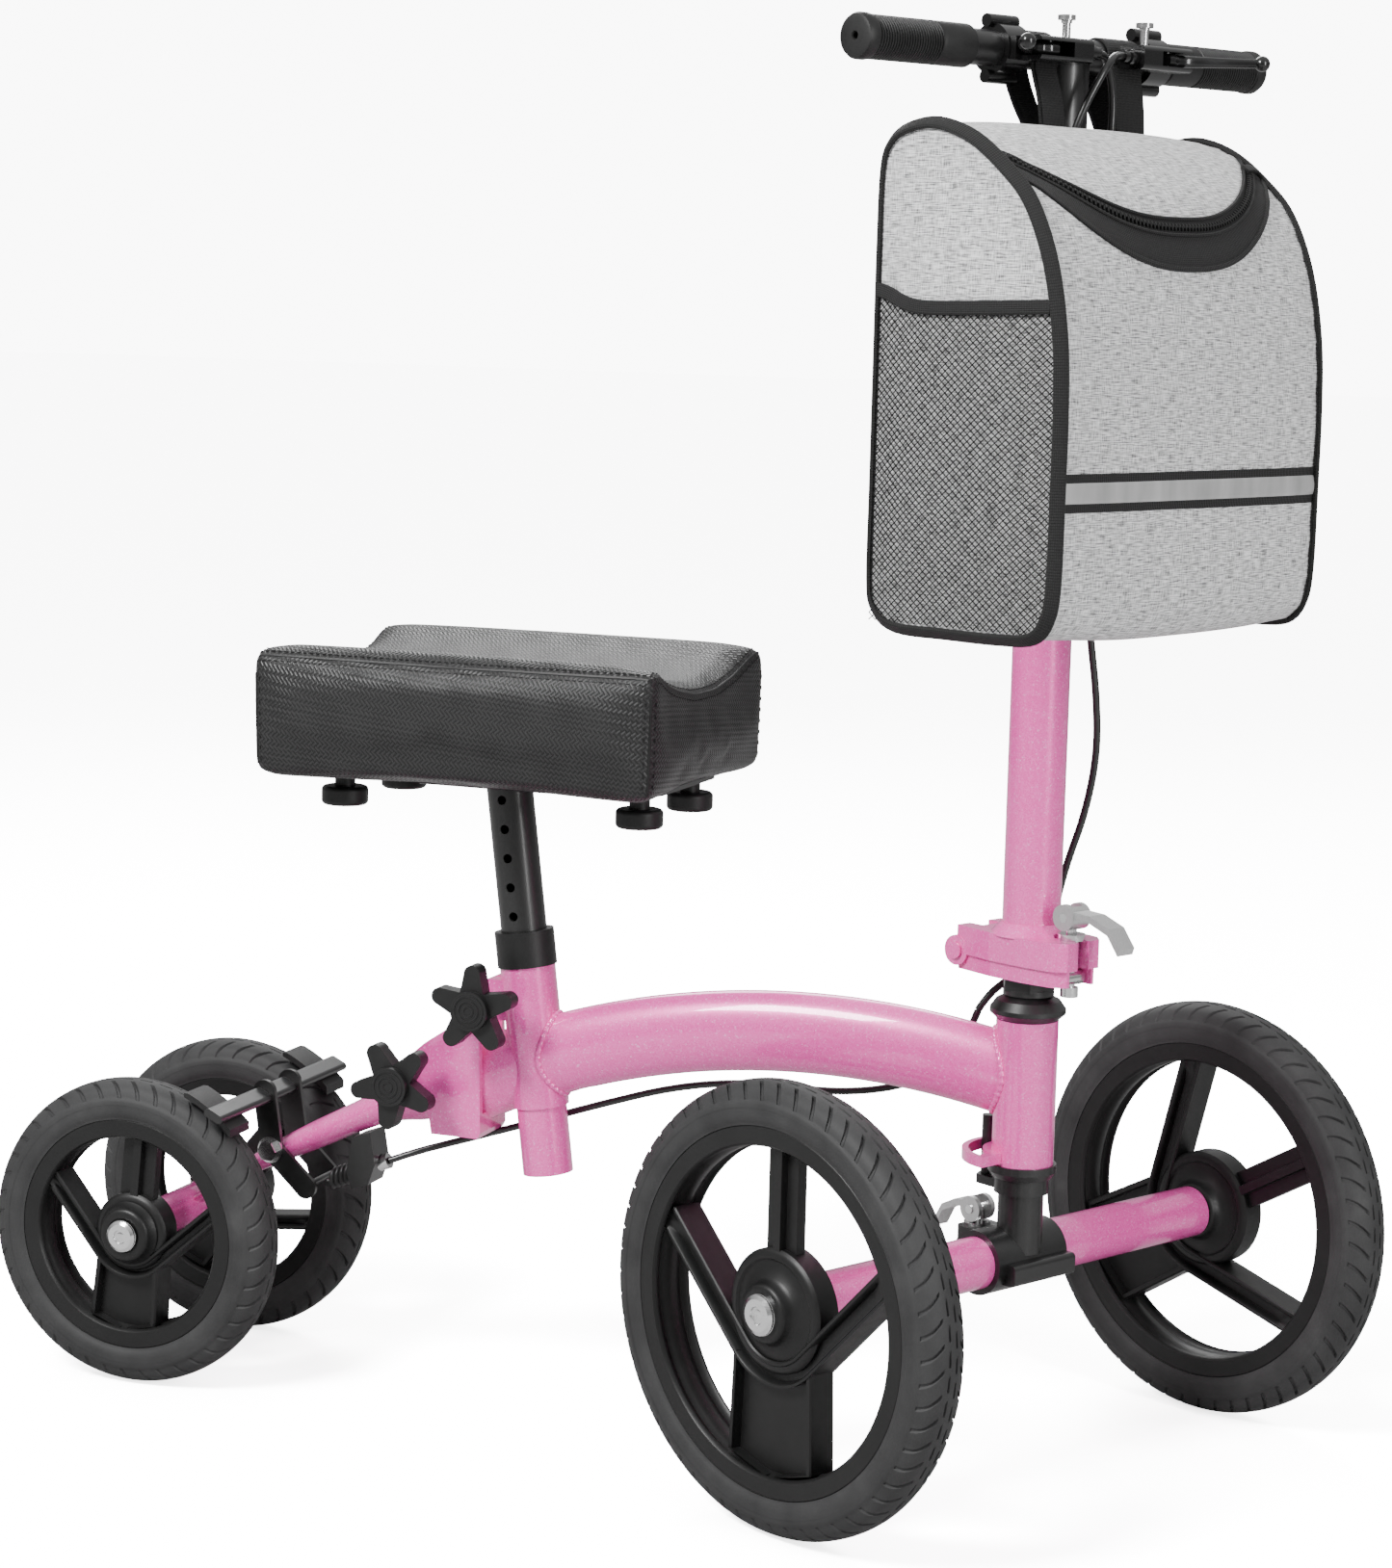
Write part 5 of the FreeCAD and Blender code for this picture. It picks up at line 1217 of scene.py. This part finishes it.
def knob_faces():
    """The pressed rings on the faces of the two star knobs."""
    for word in ("seat", "arm"):
        node = word + "_star_knob"
        x, _, z = JOINTS[word + "_knob_turn"]["pos_m"]
        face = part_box(node)[0].y
        shells = Shells()
        for radius in (0.0105, 0.0070, 0.0035):
            ring = [(face + 0.0002, radius - 0.0009), (face - 0.0006, radius - 0.0005),
                    (face - 0.0006, radius + 0.0005), (face + 0.0002, radius + 0.0009)]
            shells.turned(ring, (x, 0, z), segments=48)
        add_piece("face_" + node, shells, word + "_knob", "knob_plastic")


def boot_and_wire():
    """The rubber bellows over the brake cable's end, and the bare wire on to the yoke."""
    axis = Vector((-0.927, 0, -0.375))
    start = REAR @ Vector((-0.476, 0, 0.153)) + axis * 0.0094
    profile = [(-0.0004, 0.0015), (-0.0004, 0.0064), (0.0010, 0.0068)]
    for k in range(5):
        y = 0.0014 + 0.0040 * k
        profile += [(y, 0.0060), (y + 0.0012, 0.0077), (y + 0.0022, 0.0081), (y + 0.0032, 0.0077)]
    profile += [(0.0218, 0.0058), (0.0222, 0.0015)]
    place = axis_place(start, axis)
    shells = Shells().turned(profile, segments=48)
    add_piece("boot_bellows", shells, "frame", "grip_rubber", place, stands_for=["brake_boot"])
    wire = Shells().swept([(0, 0.0180, 0), (0, 0.0262, 0)], circle(0.0008, 10), side=(0, 0, 1))
    add_piece("boot_wire", wire, "frame", "chrome", place)


def joint_spring():
    """The coil spring on the folding joint's swing bolt."""
    turns, steps = 7, 24
    path = []
    for k in range(turns * steps + 1):
        a = math.tau * k / steps
        path.append(Vector((0.035 + 0.0053 * math.cos(a), 0.0053 * math.sin(a),
                            0.3462 + 0.0165 * k / (turns * steps))))
    shells = Shells().swept(path, circle(0.0009, 8), side=(0, 0, 1))
    add_piece("joint_spring", shells, "column", "chrome", FRONT)


def circle_centre(a, b, c):
    """The centre of the circle through three points of the XZ plane."""
    rows = []
    for p, q in ((a, b), (a, c)):
        rows.append((q.x - p.x, q.z - p.z, (q.x ** 2 - p.x ** 2 + q.z ** 2 - p.z ** 2) / 2))
    (a1, b1, c1), (a2, b2, c2) = rows
    det = a1 * b2 - a2 * b1
    return Vector(((c1 * b2 - c2 * b1) / det, 0, (a1 * c2 - a2 * c1) / det))


def weld_beads():
    """Rippled weld beads where the beam meets the head tube and the seat tube."""
    points = [REAR @ Vector(p) for p in ((0, 0, 0.2645), (-0.170, 0, 0.281), (-0.396, 0, 0.222))]
    centre = circle_centre(*points)
    radius = (points[0] - centre).length
    shells = Shells()
    for node, from_x, sign in (("head_tube", -0.050, 1), ("seat_tube", -0.318, -1)):
        x = (REAR @ Vector((from_x, 0, 0))).x
        middle = Vector((x, 0, centre.z + math.sqrt(radius ** 2 - (x - centre.x) ** 2)))
        outward = (middle - centre).normalized()
        ahead = Vector((outward.z, 0, -outward.x)) * sign
        tree = mesh_tree([node])
        path = []
        for k in range(180):
            a = math.tau * k / 180
            start = middle + outward * 0.0275 * math.sin(a) + Vector((0, 0.0175 * math.cos(a), 0))
            hit = tree.ray_cast(start, ahead, 0.12)[0]
            if hit:
                path.append(hit - ahead * 0.0006)

        def bead(i):
            return circle(0.0021 + 0.0003 * math.sin(i * 1.3), 10)
        shells.swept(path, bead, side=lambda i, path=path, middle=middle: path[i % len(path)] - middle,
                     closed=True)
    add_piece("weld_beads", shells, "frame", "pink_paint", crease=80)


def soften(node, width):
    """Eases the sharp edges of a cast or moulded CAD part."""
    part = frame["nodes"][node]
    flat = part.modifiers.new("flat", "DECIMATE")
    flat.decimate_type, flat.angle_limit = "DISSOLVE", math.radians(2)
    edge = part.modifiers.new("ease", "BEVEL")
    edge.width, edge.segments, edge.limit_method = width, 3, "ANGLE"
    edge.angle_limit = math.radians(38)
    edge.harden_normals = True


def eased_edges():
    """The parts whose edges are cast, moulded or tumbled."""
    for node, width in (("seat_star_knob", 0.0016), ("arm_star_knob", 0.0016), ("fold_block", 0.0020),
                        ("fold_base", 0.0016), ("axle_clamp", 0.0014), ("fold_lever", 0.0012),
                        ("clamp_lever", 0.0010), ("height_lever", 0.0010), ("rear_bracket", 0.0008),
                        ("seat_tube", 0.0006), ("brake_arm", 0.0006), ("lever_mount_right", 0.0007),
                        ("lever_mount_left", 0.0007), ("hex_locknut", 0.0006)):
        soften(node, width)


def carry_over_materials():
    """Gives every shown CAD node its finish by the record's slots."""
    for part in frame["record"]["subparts"]:
        node = frame["nodes"][part["node"]]
        if node.hide_render:
            continue
        node.data.materials.clear()
        node.data.materials.append(MATERIALS[part["material_slot"]])


make_camera()
make_studio()
wheels()
brake_cables()
bag()
bag_trim()
pockets()
straps()
pad()
grips()
brake_levers()
axle_caps()
knob_faces()
boot_and_wire()
joint_spring()
weld_beads()
eased_edges()
carry_over_materials()
